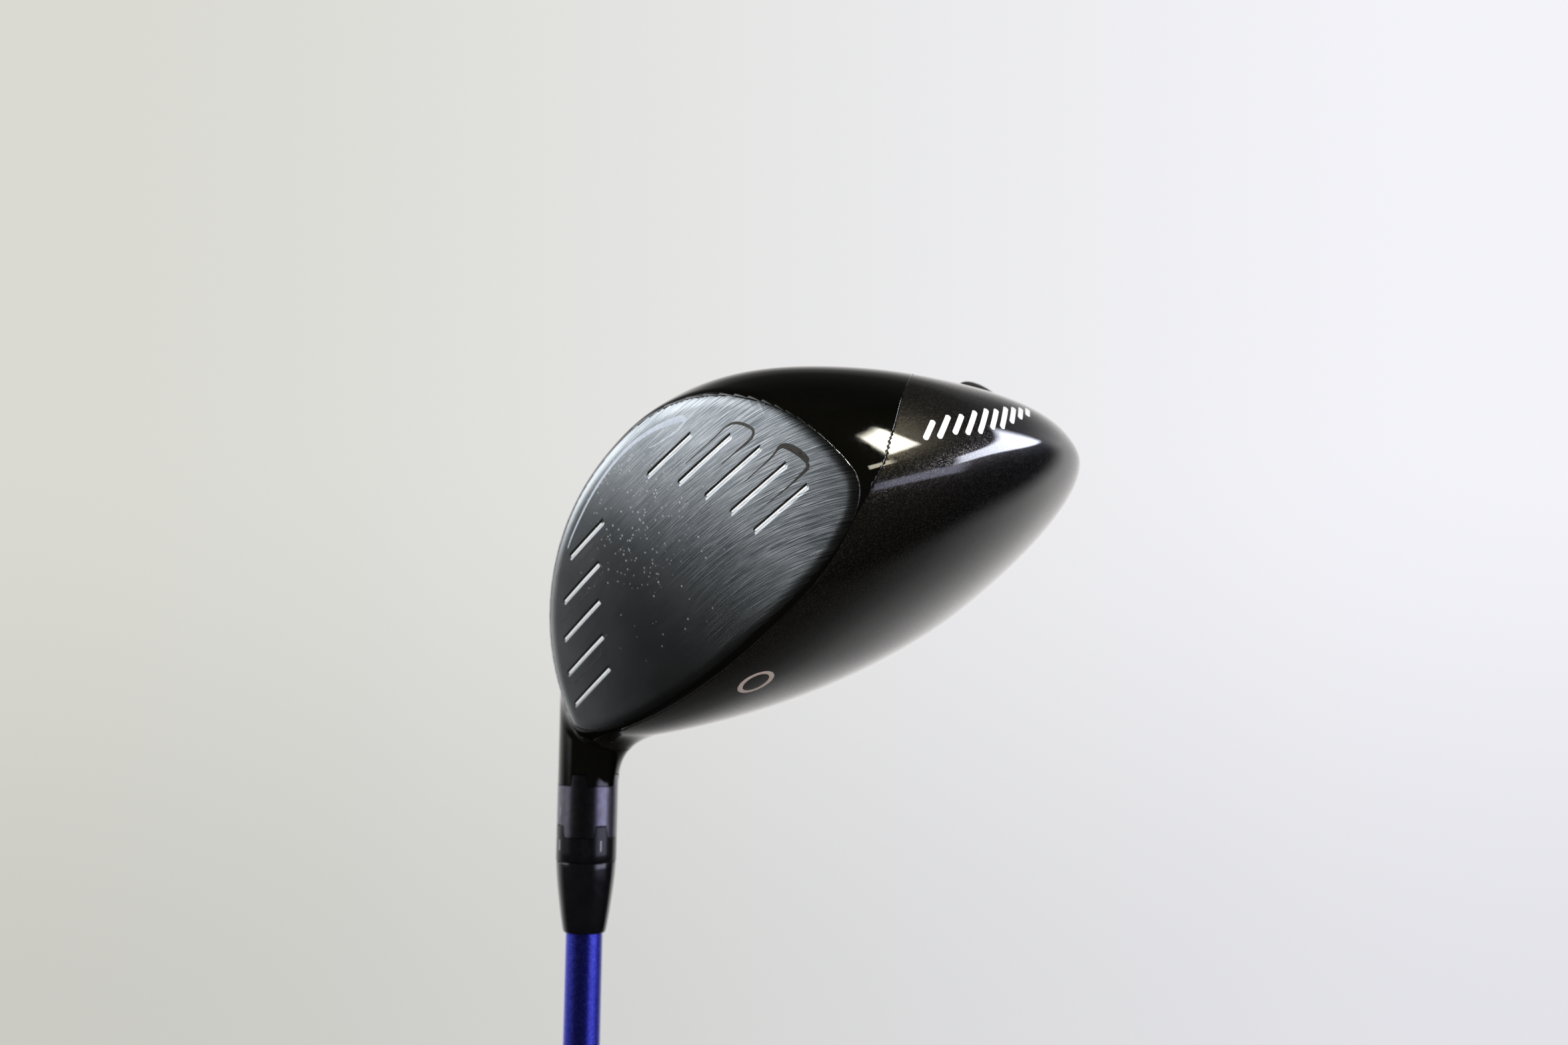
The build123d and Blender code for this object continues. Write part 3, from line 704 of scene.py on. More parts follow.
# Lines on the face: number of steps, points (u, w), widths from start to end
PALE_LINES = [
    (90, [(-25.6, -20.6), (-22.5, -22.0), (-16.3, -24.0), (-9.2, -25.1), (-2.7, -25.1),
          (3.6, -24.4), (9.4, -23.2), (14.7, -21.7), (19.8, -20.0), (22.6, -18.8)],
     [1.5, 1.25, .95, .8, .7, .62, .55, .45, .4, .3]),
    (40, [(-26.0, -20.3), (-23.4, -19.7), (-20.7, -19.8), (-16.1, -20.6), (-13.2, -21.4)],
     [.6, .4, .3, .25, .2])]
DARK_LINES = [
    (60, [(-41.4, -.7), (-43.1, -.7), (-44.6, .7), (-45.7, 2.6), (-46.4, 4.5), (-46.5, 5.9)],
     [.5, 1.0, 1.5, 1.6, 1.6, 1.3]),
    (60, [(-46.4, 5.8), (-45.6, 6.7), (-43.5, 6.9), (-39.4, 7.1), (-33.0, 6.9)],
     [1.0, .6, .34, .3, .2]),
    (50, [(-42.0, -.7), (-38.6, -.2), (-31.0, -.1)], [.5, .3, .2]),
    (90, [(-33.3, -12.5), (-35.6, -11.9), (-37.3, -10.6), (-38.7, -8.7), (-39.0, -7.4),
          (-37.6, -6.5), (-33.9, -6.5), (-28.0, -6.6)], [.35, .6, .7, .7, .6, .4, .28, .2]),
    (50, [(-33.5, -12.5), (-28.6, -12.3), (-20.0, -12.4)], [.35, .28, .2]),
    (70, [(21.0, -14.2), (9.5, -14.1), (7.0, -14.6), (7.2, -16.0), (9.0, -16.8)],
     [.2, .3, .4, .35, .25]),
    (70, [(36.5, -7.4), (20.0, -7.2), (17.4, -7.9), (17.4, -9.4)], [.2, .28, .35, .25]),
    (70, [(43.0, 5.8), (30.6, 5.9), (28.2, 5.2), (28.3, 3.6)], [.2, .28, .35, .25])]
etch_o = join_bands("face_etching", [face_line(*line) for line in PALE_LINES])
dark_o = join_bands("face_dark_lines", [face_line(*line) for line in DARK_LINES])

# ------------------------------------------------------------------ marks on skirt and crown
skin_tree = tree_of(SKIN_P)


def skin_band(points, width, closed=False):
    """Band through the skin points closest to those given."""
    P, N = [], []
    for p in points:
        near, _, quad, _ = skin_tree.find_nearest(Vector(p))
        P.append(np.array(near))
        N.append(SKIN_N[HULL_QUADS[quad][0]])
    return band(np.array(P), unit(np.array(N)), width, lift=0.035, thick=0.06, closed=closed)


# Slanted bars on the toe side, from the face centre
BAR_X = -62.5
BAR_REACH = (2.4, 3.0, 2.7, 3.5, 3.9, 3.4, 4.0, 3.3, 2.7, 2.2)      # half extent in y and in z
BAR_ROW_Y, BAR_ROW_Z = (25.5, 38.9, 49.2, 64.0), (5.7, 3.7, 1.2, -4.2)


def skirt_bar(k, reach):
    y = BAR_ROW_Y[0] + (BAR_ROW_Y[-1] - BAR_ROW_Y[0]) * k / 9
    z = float(hermite(np.array([y]), np.array(BAR_ROW_Y), np.array(BAR_ROW_Z))[0])
    p0 = FACE_O + np.array([BAR_X, y - reach, z + reach])
    p1 = FACE_O + np.array([BAR_X, y + reach, z - reach])
    return skin_band([p0 + (p1 - p0) * s for s in np.linspace(0, 1, 30)], 1.25)


def crown_oval():
    """Plain oval ring on the crown behind the face."""
    centre = FACE_O + np.array([4.9, 20.9, 27.0])
    long_side, short_side = np.array([0.93, 0.37, 0.0]), np.array([-0.37, 0.93, 0.0])
    angles = turn(96)
    return skin_band([centre + long_side * 4.9 * math.cos(a) + short_side * 3.5 * math.sin(a)
                      for a in angles], 1.15, closed=True)


bars_o = join_bands("skirt_mark", [skirt_bar(k, reach) for k, reach in enumerate(BAR_REACH)])
oval_o = join_bands("crown_mark", [crown_oval()])


# ------------------------------------------------------------------ turned parts on the axis
def notch_depth(angle, start, root, tip, depth):
    """Depth at an angle of four trapezoids, root and tip wide, on radius HOSEL_R."""
    x = abs(math.radians(off_quarter(math.degrees(angle), start))) * HOSEL_R
    if x <= tip / 2:
        return depth
    if x >= root / 2:
        return 0.0
    return depth * (root / 2 - x) / (root / 2 - tip / 2)


def notch_angles(starts, widths, eps=0.25):
    """Angles of a full turn, with a pair of cuts at each corner of the trapezoids."""
    angles = list(np.linspace(0, 360, 200, endpoint=False))
    for start in starts:
        for k in range(4):
            for width in widths:
                for side in (-1, 1):
                    c = start + 90 * k + side * math.degrees(width / 2 / HOSEL_R)
                    angles += [(c - eps) % 360, (c + eps) % 360]
    return np.radians(sorted(set(round(a, 3) for a in angles)))


def torus_quads(n, m):
    i, j = np.arange(n)[:, None], np.arange(m)[None]
    i2, j2 = (i + 1) % n, (j + 1) % m
    quads = [i * m + j, i2 * m + j, i2 * m + j2, i * m + j2]
    return np.stack(quads, -1).reshape(-1, 4)


def lathe(name, profile, angles, notches=(), sharp=38):
    """Revolve a closed (r, t) profile. notches lower some profile points:
    (point numbers, arguments of notch_depth after the angle)."""
    V = np.empty((len(angles), len(profile), 3))
    for i, a in enumerate(angles):
        out = AXIS_X * math.cos(a) + AXIS_Y * math.sin(a)
        for j, (r, t) in enumerate(profile):
            t -= sum(notch_depth(a, *shape) for rows, shape in notches if j in rows)
            V[i, j] = AXIS_O + AXIS * t + out * r
    obj = emit(name, V.reshape(-1, 3), torus_quads(len(angles), len(profile)))
    tidy(obj, sharp, weld=2e-7)
    return obj


# Profiles: r, t
HOSEL_PROFILE = [
    (BORE_R, -12.0), (BORE_R, 23.6), (BORE_R + .15, 23.88), (HOSEL_R - .3, 23.88),
    (HOSEL_R - .2, 23.7), (HOSEL_R - .25, 20.0), (6.6, 8.0), (6.6, -12.0)]
RING_PROFILE = [
    (BORE_R + .15, 23.95), (BORE_R, 24.1), (BORE_R, 30.5), (BORE_R, 35.85),
    (BORE_R + .15, 36.0), (HOSEL_R - .16, 36.0), (HOSEL_R, 35.84), (HOSEL_R, 30.5),
    (HOSEL_R, 24.11), (HOSEL_R - .16, 23.95)]
SLEEVE_PROFILE = [
    (4.35, 41.7), (4.35, -3.0), (3.6, -3.02), (3.6, -10.2), (3.8, -10.4), (4.9, -10.4),
    (5.1, -10.2), (5.1, 32.0), (5.1, 36.0), (5.2, 36.05), (HOSEL_R - .16, 36.05),
    (HOSEL_R, 36.2), (HOSEL_R, 39.5), (HOSEL_R, 41.46), (HOSEL_R - .06, 41.6),
    (HOSEL_R - .2, 41.7)]
FERRULE_PROFILE = [
    (4.35, 58.2), (4.35, 41.73), (HOSEL_R - .25, 41.73), (HOSEL_R - .05, 41.85),
    (HOSEL_R - .02, 42.1), (7.03, 43.2), (6.9, 45.0), (6.7, 47.0), (6.42, 49.3), (6.1, 51.7),
    (5.78, 54.0), (5.46, 56.0), (5.22, 57.3), (5.08, 57.85), (4.86, 58.2), (4.6, 58.34),
    (4.42, 58.32)]
WEB_PROFILE = [
    (2.9, -15.0), (4.9, -15.0), (5.1, -14.8), (5.1, -12.2), (4.9, -12.0), (2.9, -12.0)]

hosel_o = lathe("hosel_tube_visual", HOSEL_PROFILE, notch_angles([NOTCH_START], [4.4, 3.6]),
                [((1, 2, 3, 4), (NOTCH_START, 4.24, 3.6, 2.7))])
# the ring has tabs below that fill the hosel's notches, and notches above for the sleeve
ring_o = lathe("adjust_ring_visual", RING_PROFILE,
               notch_angles([NOTCH_START, TAB_START], [4.16, 3.44, 3.89, 2.76]),
               [((0, 1, 8, 9), (NOTCH_START, 4.08, 3.44, 2.62)),
                ((3, 4, 5, 6), (TAB_START, 3.89, 2.76, 2.76))])
# the sleeve's collar has tabs, and its tube runs down the bore
sleeve_o = lathe("shaft_sleeve_visual", SLEEVE_PROFILE, notch_angles([TAB_START], [3.82, 2.6]),
                 [((8, 9, 10, 11), (TAB_START, 3.82, 2.6, 2.75))])
ferrule_o = lathe("ferrule_visual", FERRULE_PROFILE, turn(128), sharp=50)

GROUND_T = -FACE_O[2] / math.sin(LIE)       # where the axis meets the ground
BUTT = 1143.0 + GROUND_T                    # top of the grip
SHAFT_END = BUTT - 6.0
TAPER_START = 75.0
TIP_R, BUTT_R = 4.3, 7.6


def shaft_r(t):
    return TIP_R + (BUTT_R - TIP_R) * (t - TAPER_START) / (SHAFT_END - TAPER_START)


shaft_profile = (
    [(2.3, -2.6), (4.1, -2.6), (TIP_R, -2.35)]
    + [(TIP_R, t) for t in np.linspace(0, TAPER_START, 14)]
    + [(shaft_r(t), t) for t in np.linspace(TAPER_START, SHAFT_END - 0.2, 90)[1:]]
    + [(7.5, SHAFT_END), (6.6, SHAFT_END), (3.0, TAPER_START)])
shaft_o = lathe("shaft_visual", shaft_profile, turn(96))

# ------------------------------------------------------------------ grip
GRIP_START = BUTT - 270.0
MOUTH_R = shaft_r(GRIP_START)
# Outline: distance up from the grip's lower end, r
GRIP_OUTLINE = np.array([
    (0, MOUTH_R + 1.52), (2, MOUTH_R + 1.87), (12, MOUTH_R + 2.17), (70, 10.9), (140, 11.7),
    (200, 12.5), (254, 13.2), (263.5, 13.73)])
# Butt cap and inner wall: r, distance down from the top
GRIP_CAP = [
    (13.74, 6.0), (13.75, 4.5), (13.6, 2.4), (13.2, 1.2), (12.6, .5), (11.7, .1), (10.5, 0),
    (8.9, 0), (8.7, .25), (8.4, .3), (8.1, .25), (7.9, 0), (2.4, 0), (2.1, .1), (2.0, .4),
    (2.0, 5.9), (7.87, 5.9), (MOUTH_R + .27, 270.0)]
PLAIN_BANDS = (62.0, 128.0, 190.0)          # centres of the bands without ribs


def grip_relief(angle, up):
    """Height of the moulded pattern: crossed grooves, plain bands and ring grooves."""
    turns, rise = angle / (2 * np.pi) * 28, up / 3.1
    one_way = np.abs(((turns + rise) % 1) - .5)
    other_way = np.abs(((turns - rise) % 1) - .5)
    rib = np.clip(np.minimum(one_way, other_way) / .16, 0, 1)
    zone = sstep(up, 14, 17) * (1 - sstep(up, 244, 248))
    ribbed = np.ones_like(up)
    rings = np.exp(-((up - 9.0) / .8) ** 2) + np.exp(-((up - 252.5) / .9) ** 2)
    for c in PLAIN_BANDS:
        ribbed *= 1 - (sstep(up, c - 4, c - 3) * (1 - sstep(up, c + 3, c + 4)))
        for edge in (c - 3.7, c + 3.7):
            rings = rings + .6 * np.exp(-((up - edge) / .5) ** 2)
    return -0.42 * (1 - rib) * zone * ribbed - 0.35 * rings


def make_grip():
    angles = turn(168)
    heights = np.linspace(GRIP_START, BUTT - 6.5, 620)
    radius = np.interp(heights, GRIP_OUTLINE[:, 0] + GRIP_START, GRIP_OUTLINE[:, 1])
    kernel, reach = gauss(10)
    radius = np.convolve(np.pad(radius, reach, mode="edge"), kernel, "valid")
    A, T = np.meshgrid(angles, heights, indexing="ij")
    R = radius[None] + grip_relief(A, T - GRIP_START)
    wall = AXIS_O + T[..., None] * AXIS + R[..., None] * around(A)
    cap = np.stack([AXIS_O + (BUTT - down) * AXIS + r * around(angles)
                    for r, down in GRIP_CAP], 1)
    V = np.concatenate([wall, cap], 1)
    obj = emit("grip_visual", V.reshape(-1, 3), torus_quads(len(angles), V.shape[1]))
    obj.data.set_sharp_from_angle(angle=math.radians(60))
    return obj


grip_o = make_grip()

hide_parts("adjust_ring")
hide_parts("shaft_sleeve")
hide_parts("ferrule")
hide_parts("shaft")
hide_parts("grip")


# ------------------------------------------------------------------ index marks
def index_marks(name, low, high):
    """Four plain upright ticks in line with the sleeve's tabs."""
    ticks = []
    for k in range(4):
        t = low + (high - low) * np.linspace(0, 1, 14)
        out = around(np.full(14, np.radians(TAB_START + 90 * k)))
        P = AXIS_O + t[:, None] * AXIS + HOSEL_R * out
        ticks.append(band(P, out, .34, lift=0.02, thick=0.05))
    return join_bands(name, ticks)


collar_marks_o = index_marks("collar_index_marks", 36.5, 39.1)
ring_marks_o = index_marks("ring_index_marks", 28.8, 31.2)


# ------------------------------------------------------------------ screw well
def well_surface():
    """Wall of the well, facing the axis, kept inside the hull."""
    rows, cols = 60, 96
    heights = np.linspace(-34, -15.0, rows)
    out = around(turn(cols))
    P = (AXIS_O + heights[:, None, None] * AXIS + WELL_R * out[None]).reshape(-1, 3)
    inside = -hull_dist(P)[0] - 0.02
    normals = -np.broadcast_to(out, (rows, cols, 3)).reshape(-1, 3)
    A = np.hstack([P, normals, inside[:, None]])
    return Mesh(A, grid_quads(rows, cols, True)[:, ::-1]).clip(inside)


well_o = shell("screw_well", well_surface(), thick=1.0)
web_o = lathe("screw_well_web", WEB_PROFILE, turn(96))

for obj in (face_o, front_o, neck_o, crown_o, sole_o, strip_o, paint_o, etch_o, dark_o, bars_o,
            oval_o, hosel_o, well_o, web_o):
    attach(obj, "head")
for obj in (ring_o, ring_marks_o):
    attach(obj, "ring")
for obj in (sleeve_o, collar_marks_o, ferrule_o, shaft_o, grip_o):
    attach(obj, "shaft_assembly")


# ------------------------------------------------------------------ shader building
class Graph:
    """Short calls that add nodes to one tree. Inputs may be sockets or plain values."""

    def __init__(self, tree):
        self.tree = tree

    def plug(self, node, inputs):
        for key, value in inputs.items():
            socket = node.inputs[key]
            if isinstance(value, bpy.types.NodeSocket):
                self.tree.links.new(value, socket)
            elif socket.type == "RGBA":
                socket.default_value = (*value, 1)
            else:
                socket.default_value = value

    def node(self, kind, inputs=None, **settings):
        node = self.tree.nodes.new("ShaderNode" + kind)
        for key, value in settings.items():
            setattr(node, key, value)
        self.plug(node, inputs or {})
        return node

    def surface(self, inputs):
        self.plug(self.tree.nodes["Principled BSDF"], inputs)

    def math(self, operation, *values, clamp=False):
        return self.node("Math", dict(enumerate(values)), operation=operation,
                         use_clamp=clamp).outputs[0]

    def vector(self, operation, *values):
        return self.node("VectorMath", dict(enumerate(values)), operation=operation).outputs[0]

    def scaled(self, vector, factor):
        return self.node("VectorMath", {0: vector, 3: factor}, operation="SCALE").outputs[0]

    def dot(self, vector, direction):
        return self.node("VectorMath", {0: vector, 1: tuple(float(x) for x in direction)},
                         operation="DOT_PRODUCT").outputs["Value"]

    def parts(self, vector):
        return self.node("SeparateXYZ", {0: vector}).outputs

    def channels(self, color):
        return self.node("SeparateColor", {0: color}).outputs

    def object_coords(self):
        coords = self.node("TexCoord").outputs["Object"]
        return self.node("Mapping", {0: coords}).outputs[0]

    def noise(self, vector, scale, detail=3, rough=0.5):
        return self.node("TexNoise", {"Vector": vector, "Scale": scale, "Detail": detail,
                                      "Roughness": rough}).outputs["Fac"]

    def cells(self, vector, scale):
        return self.node("TexVoronoi", {"Vector": vector, "Scale": scale}).outputs

    def ramp(self, factor, stops, interpolation="LINEAR"):
        """stops are (position, colour or grey level)."""
        node = self.node("ValToRGB", {0: factor})
        node.color_ramp.interpolation = interpolation
        elements = node.color_ramp.elements
        while len(elements) < len(stops):
            elements.new(0.5)
        for element, (position, c) in zip(elements, stops):
            element.position = position
            element.color = (*c, 1) if isinstance(c, tuple) else (c, c, c, 1)
        return node.outputs[0]

    def mix(self, factor, a, b, mode="MIX"):
        return self.node("Mix", {0: factor, 6: a, 7: b} if mode else {}, data_type="RGBA",
                         blend_type=mode).outputs[2]

    def bump(self, height, strength, distance):
        return self.node("Bump", {"Height": height, "Strength": strength,
                                  "Distance": distance}).outputs[0]


materials = {}


def new_material(name):
    material = bpy.data.materials.new(name)
    material.use_nodes = True
    materials[name] = material
    return Graph(material.node_tree)


# ------------------------------------------------------------------ materials
def gloss_lacquer():
    """Deep black gloss with a trace of dust."""
    g = new_material("gloss_black_lacquer")
    co = g.object_coords()
    dust = g.noise(co, scale=5200, detail=1)
    g.surface({
        "Roughness": g.ramp(g.noise(co, scale=900, detail=2), [(0.35, 0.035), (0.8, 0.075)]),
        "IOR": 1.52,
        "Normal": g.bump(g.noise(co, scale=420, detail=2), strength=0.015, distance=0.0003),
        "Base Color": g.ramp(dust, [(0.68, (0.0014, 0.0014, 0.0010)),
                                    (0.82, (0.010, 0.009, 0.007))])})


def flake_paint(name, base, bronze, blue, rough, coat_rough, tilt):
    """Dark metallic base with small tilted flakes under a clear coat."""
    g = new_material(name)
    co = g.object_coords()
    flake = g.cells(co, scale=5200)["Color"]
    lean = g.scaled(g.vector("SUBTRACT", flake, (0.5, 0.5, 0.5)), tilt)
    normal = g.node("NewGeometry").outputs["Normal"]
    # hue drifts from bronze to blue towards the rear, and each flake has its own brightness
    drift = g.math("MULTIPLY_ADD", g.parts(co)[1], 14.0, 0.10, clamp=True)
    hue = g.mix(drift, bronze, blue)
    sparkle = g.math("POWER", g.channels(flake)[1], 4.0)
    color = g.scaled(hue, g.math("MULTIPLY_ADD", sparkle, 2.6, 0.48))
    haze = g.noise(co, scale=700, detail=2)
    g.surface({
        "Normal": g.vector("NORMALIZE", g.vector("ADD", normal, lean)),
        "Base Color": g.mix(0.22, color, base),
        "Metallic": 0.85,
        "Specular Tint": (0.06, 0.06, 0.07),
        "Roughness": rough,
        "Coat Weight": 1.0,
        "Coat IOR": 1.5,
        "Coat Roughness": g.ramp(haze, [(0.3, coat_rough), (0.85, coat_rough * 2.0)]),
        "Coat Normal": g.bump(g.noise(co, scale=380, detail=2), strength=0.015,
                              distance=0.0003)})


def brushed_face():
    """Dark metal with bent brushing towards the toe, a painted highlight of pale streaks that is
    brightest at the toe, and pale specks of wear.
    """
    g = new_material("brushed_face_metal")
    uv = g.node("UVMap", uv_map="map").outputs[0]

    def streaks(along, across, shift=0.0):
        place = g.node("Mapping", {"Scale": (along, across, 1),
                                   "Location": (shift, shift * 1.7, 0), 0: uv})
        return g.noise(place.outputs[0], scale=1.0, detail=2, rough=.6)

    broad, narrow = streaks(along=9, across=380), streaks(along=14, across=720, shift=3.1)
    u, v = g.parts(uv)[:2]
    # brushing is strongest at the toe, where u is lowest, and fades out past the middle; in the
    # colour this weight also paints a highlight that is brightest at the toe
    toe = g.ramp(g.math("MULTIPLY_ADD", u, -1.0, 0.45),
                 [(0.10, 0.03), (0.36, 0.10), (0.60, 0.60), (0.80, 1.0)])
    co = g.object_coords()
    cloud = g.noise(co, scale=70, detail=5, rough=.65)
    fine = g.noise(co, scale=1400, detail=3, rough=.6)
    crossed = g.math("SUBTRACT", g.math("MULTIPLY", broad, narrow), 0.27)
    light = g.math("MAXIMUM", g.math("MULTIPLY_ADD", crossed, 1.3, 0.05), -0.10)
    # painted highlight: pale streak marks weighted to the toe are added to the base colour below
    toe_sheen_streaks = g.math("MULTIPLY", light, toe)
    mottle = g.math("MULTIPLY_ADD", fine, 0.14, g.math("MULTIPLY", cloud, 0.86))
    metal = g.ramp(mottle, [(0.32, (0.180, 0.196, 0.204)), (0.68, (0.245, 0.262, 0.272))])
    grey = g.node("CombineColor", {i: g.math("MULTIPLY", toe_sheen_streaks, 1.0) for i in range(3)})
    brushed = g.mix(1.0, metal, grey.outputs[0], "ADD")

    def specks(scale, size, keep, centre, half_fade, full_fade):
        """Dots in cells picked above keep, thinning out with squared distance in uv."""
        cell = g.cells(co, scale)
        spot = g.ramp(cell["Distance"], [(size * .5, 1), (size, 0)])
        picked = g.math("GREATER_THAN", g.channels(cell["Color"])[0], keep)
        du = g.math("SUBTRACT", u, centre[0])
        dv = g.math("SUBTRACT", v, centre[1])
        squared = g.math("ADD", g.math("MULTIPLY", du, du), g.math("MULTIPLY", dv, dv))
        region = g.ramp(squared, [(0.0, 1), (half_fade, 0.6), (full_fade, 0)])
        return g.math("MULTIPLY", g.math("MULTIPLY", spot, picked), region)

    wear = g.math("MAXIMUM",
                  specks(1300, size=.34, keep=.80, centre=(.00, -.12),
                         half_fade=.012, full_fade=.035),
                  specks(950, size=.28, keep=.88, centre=(.02, -.04),
                         half_fade=.03, full_fade=.07))
    rough = g.math("MULTIPLY_ADD", broad, 0.10, g.math("MULTIPLY_ADD", toe, 0.11, 0.135))
    relief = g.math("MULTIPLY", g.math("ADD", broad, g.math("MULTIPLY", narrow, .6)),
                    g.math("MULTIPLY_ADD", toe, 0.94, 0.06))
    tangent = g.node("Tangent", direction_type="UV_MAP", uv_map="map").outputs[0]
    g.surface({
        "Base Color": g.mix(g.math("MULTIPLY", wear, 0.75), brushed, (0.62, 0.62, 0.60)),
        "Metallic": 1.0,
        "Roughness": g.math("ADD", rough, g.math("MULTIPLY", wear, 0.4)),
        "Anisotropic": 0.70,
        "Anisotropic Rotation": 0.25,
        "Tangent": tangent,
        "Normal": g.bump(relief, strength=0.34, distance=0.00010)})


def mottled(name, dark, light, rough, metallic=0.0, scale=300, coat=0.0, bump=0.05,
            depth=0.0001, spec=0.5, rough_range=0.06):
    """Two tones and a roughness that wander with noise."""
    g = new_material(name)
    co = g.object_coords()
    tone = g.noise(co, scale, detail=4, rough=.6)
    wander = g.noise(co, scale * 2.7)
    g.surface({
        "Base Color": g.ramp(tone, [(0.3, dark), (0.7, light)]),
        "Roughness": g.ramp(wander, [(0.3, rough), (0.7, rough + rough_range)]),
        "Metallic": metallic,
        "Coat Weight": coat,
        "Coat Roughness": 0.03,
        "Specular IOR Level": spec,
        "Normal": g.bump(tone, bump, depth)})


MOTTLED = dict(
    groove_paint=dict(dark=(0.56, 0.57, 0.57), light=(0.70, 0.70, 0.69), rough=0.45,
                      scale=1500),
    etched_metal=dict(dark=(0.36, 0.40, 0.46), light=(0.46, 0.50, 0.56), rough=0.50,
                      metallic=0.3, scale=900),
    dark_etched_metal=dict(dark=(0.040, 0.038, 0.034), light=(0.075, 0.072, 0.066),
                           rough=0.42, metallic=0.8, scale=700),
    index_ink=dict(dark=(0.20, 0.21, 0.24), light=(0.26, 0.27, 0.30), rough=0.4, scale=1500),
    ring_index_ink=dict(dark=(0.10, 0.10, 0.11), light=(0.16, 0.16, 0.17), rough=0.4,
                        scale=1500),
    pale_mark_ink=dict(dark=(0.72, 0.72, 0.72), light=(0.82, 0.82, 0.82), rough=0.35,
                       scale=2500, coat=1.0, bump=.02),
    beige_mark_ink=dict(dark=(0.60, 0.47, 0.40), light=(0.70, 0.57, 0.50), rough=0.35,
                        scale=2500, coat=1.0, bump=.02),
    elastomer_black=dict(dark=(0.012, 0.012, 0.012), light=(0.022, 0.022, 0.022), rough=0.62,
                         scale=1800, bump=.2, depth=.00005),
    satin_aluminium=dict(dark=(0.42, 0.42, 0.44), light=(0.55, 0.55, 0.57), rough=0.34,
                         metallic=1.0, scale=700),
    anodised_aluminium=dict(dark=(0.45, 0.46, 0.48), light=(0.52, 0.53, 0.56), rough=0.30,
                            metallic=1.0, scale=900),
    sintered_tungsten=dict(dark=(0.20, 0.20, 0.21), light=(0.32, 0.32, 0.34), rough=0.45,
                           metallic=1.0, scale=2400, bump=.3, depth=.00004),
    moulded_polymer=dict(dark=(0.45, 0.45, 0.43), light=(0.55, 0.55, 0.52), rough=0.50,
                         scale=600),
    nylon=dict(dark=(0.70, 0.70, 0.66), light=(0.78, 0.78, 0.74), rough=0.42, scale=500),
    black_anodised_cap=dict(dark=(0.012, 0.012, 0.012), light=(0.022, 0.022, 0.021),
                            rough=0.30, metallic=0.4, scale=900, coat=.3),
    plated_steel=dict(dark=(0.50, 0.50, 0.51), light=(0.62, 0.62, 0.63), rough=0.20,
                      metallic=1.0, scale=600),
    machined_brass=dict(dark=(0.58, 0.43, 0.18), light=(0.72, 0.56, 0.26), rough=0.26,
                        metallic=1.0, scale=800),
    tacky_glue=dict(dark=(0.24, 0.15, 0.05), light=(0.36, 0.24, 0.10), rough=0.30, scale=260,
                    bump=.5, depth=.0004),
    plug_polymer=dict(dark=(0.05, 0.05, 0.05), light=(0.09, 0.09, 0.09), rough=0.5,
                      scale=900),
    sleeve_black_anodised=dict(dark=(0.0015, 0.0015, 0.0020), light=(0.0030, 0.0030, 0.0036),
                               rough=0.22, scale=900, coat=.2, spec=.3),
    ferrule_gloss_black=dict(dark=(0.0016, 0.0016, 0.0022), light=(0.0028, 0.0028, 0.0040),
                             rough=0.16, coat=.7, bump=.03, rough_range=.08))


def anodised_ring():
    """Lilac metal with fine turned lines about the axis."""
    g = new_material("lilac_anodised_ring")
    co = g.object_coords()
    lines = g.math("SINE", g.math("MULTIPLY", g.dot(co, AXIS), 26000.0))
    g.surface({
        "Base Color": g.ramp(g.noise(co, scale=800), [(0.3, (0.125, 0.118, 0.145)),
                                                      (0.7, (0.17, 0.16, 0.195))]),
        "Metallic": 1.0,
        "Roughness": g.math("MULTIPLY_ADD", lines, 0.04, 0.28),
        "Normal": g.bump(lines, strength=0.06, distance=0.00002)})


def shaft_lacquer():
    """Blue metallic lacquer with fine flake."""
    g = new_material("blue_metallic_lacquer")
    co = g.object_coords()
    flake = g.channels(g.cells(co, scale=5200)["Color"])[0]
    g.surface({
        "Base Color": g.ramp(flake, [(0.0, (0.026, 0.030, 0.31)), (0.7, (0.042, 0.048, 0.50)),
                                     (1.0, (0.09, 0.11, 0.70))]),
        "Metallic": 0.97,
        "Roughness": 0.38,
        "Coat Weight": 0.25,
        "Coat Roughness": g.ramp(g.noise(co, scale=500), [(0.3, .10), (.7, .2)])})


def grip_rubber():
    g = new_material("grip_rubber_textured")
    co = g.object_coords()
    grain = g.noise(co, scale=2600, detail=4, rough=.65)
    g.surface({
        "Base Color": g.ramp(g.noise(co, scale=60), [(0.3, (0.014, 0.014, 0.015)),
                                                     (0.75, (0.026, 0.026, 0.027))]),
        "Roughness": g.ramp(grain, [(0.3, .55), (.7, .75)]),
        "Normal": g.bump(grain, strength=0.35, distance=0.0002)})


def woven_tape():
    g = new_material("woven_tape")
    threads = {"Scale": 900, "Vector": g.object_coords()}
    warp = g.node("TexWave", threads).outputs["Fac"]
    weft = g.node("TexWave", threads, bands_direction="Z").outputs["Fac"]
    weave = g.math("MULTIPLY", warp, weft)
    g.surface({
        "Base Color": g.ramp(weave, [(0.0, (0.50, 0.47, 0.38)), (1.0, (0.72, 0.69, 0.60))]),
        "Roughness": .8,
        "Normal": g.bump(weave, strength=.3, distance=.0001)})


gloss_lacquer()
flake_paint("charcoal_flake_paint", base=(0.013, 0.0125, 0.0125),
            bronze=(0.040, 0.0355, 0.0280), blue=(0.0225, 0.0255, 0.0360),
            rough=0.34, coat_rough=0.03, tilt=0.20)
flake_paint("sole_flake_paint", base=(0.012, 0.012, 0.012),
            bronze=(0.030, 0.027, 0.022), blue=(0.020, 0.021, 0.028),
            rough=0.40, coat_rough=0.10, tilt=0.22)
brushed_face()
for name, look in MOTTLED.items():
    mottled(name, **look)
anodised_ring()
shaft_lacquer()
grip_rubber()
woven_tape()

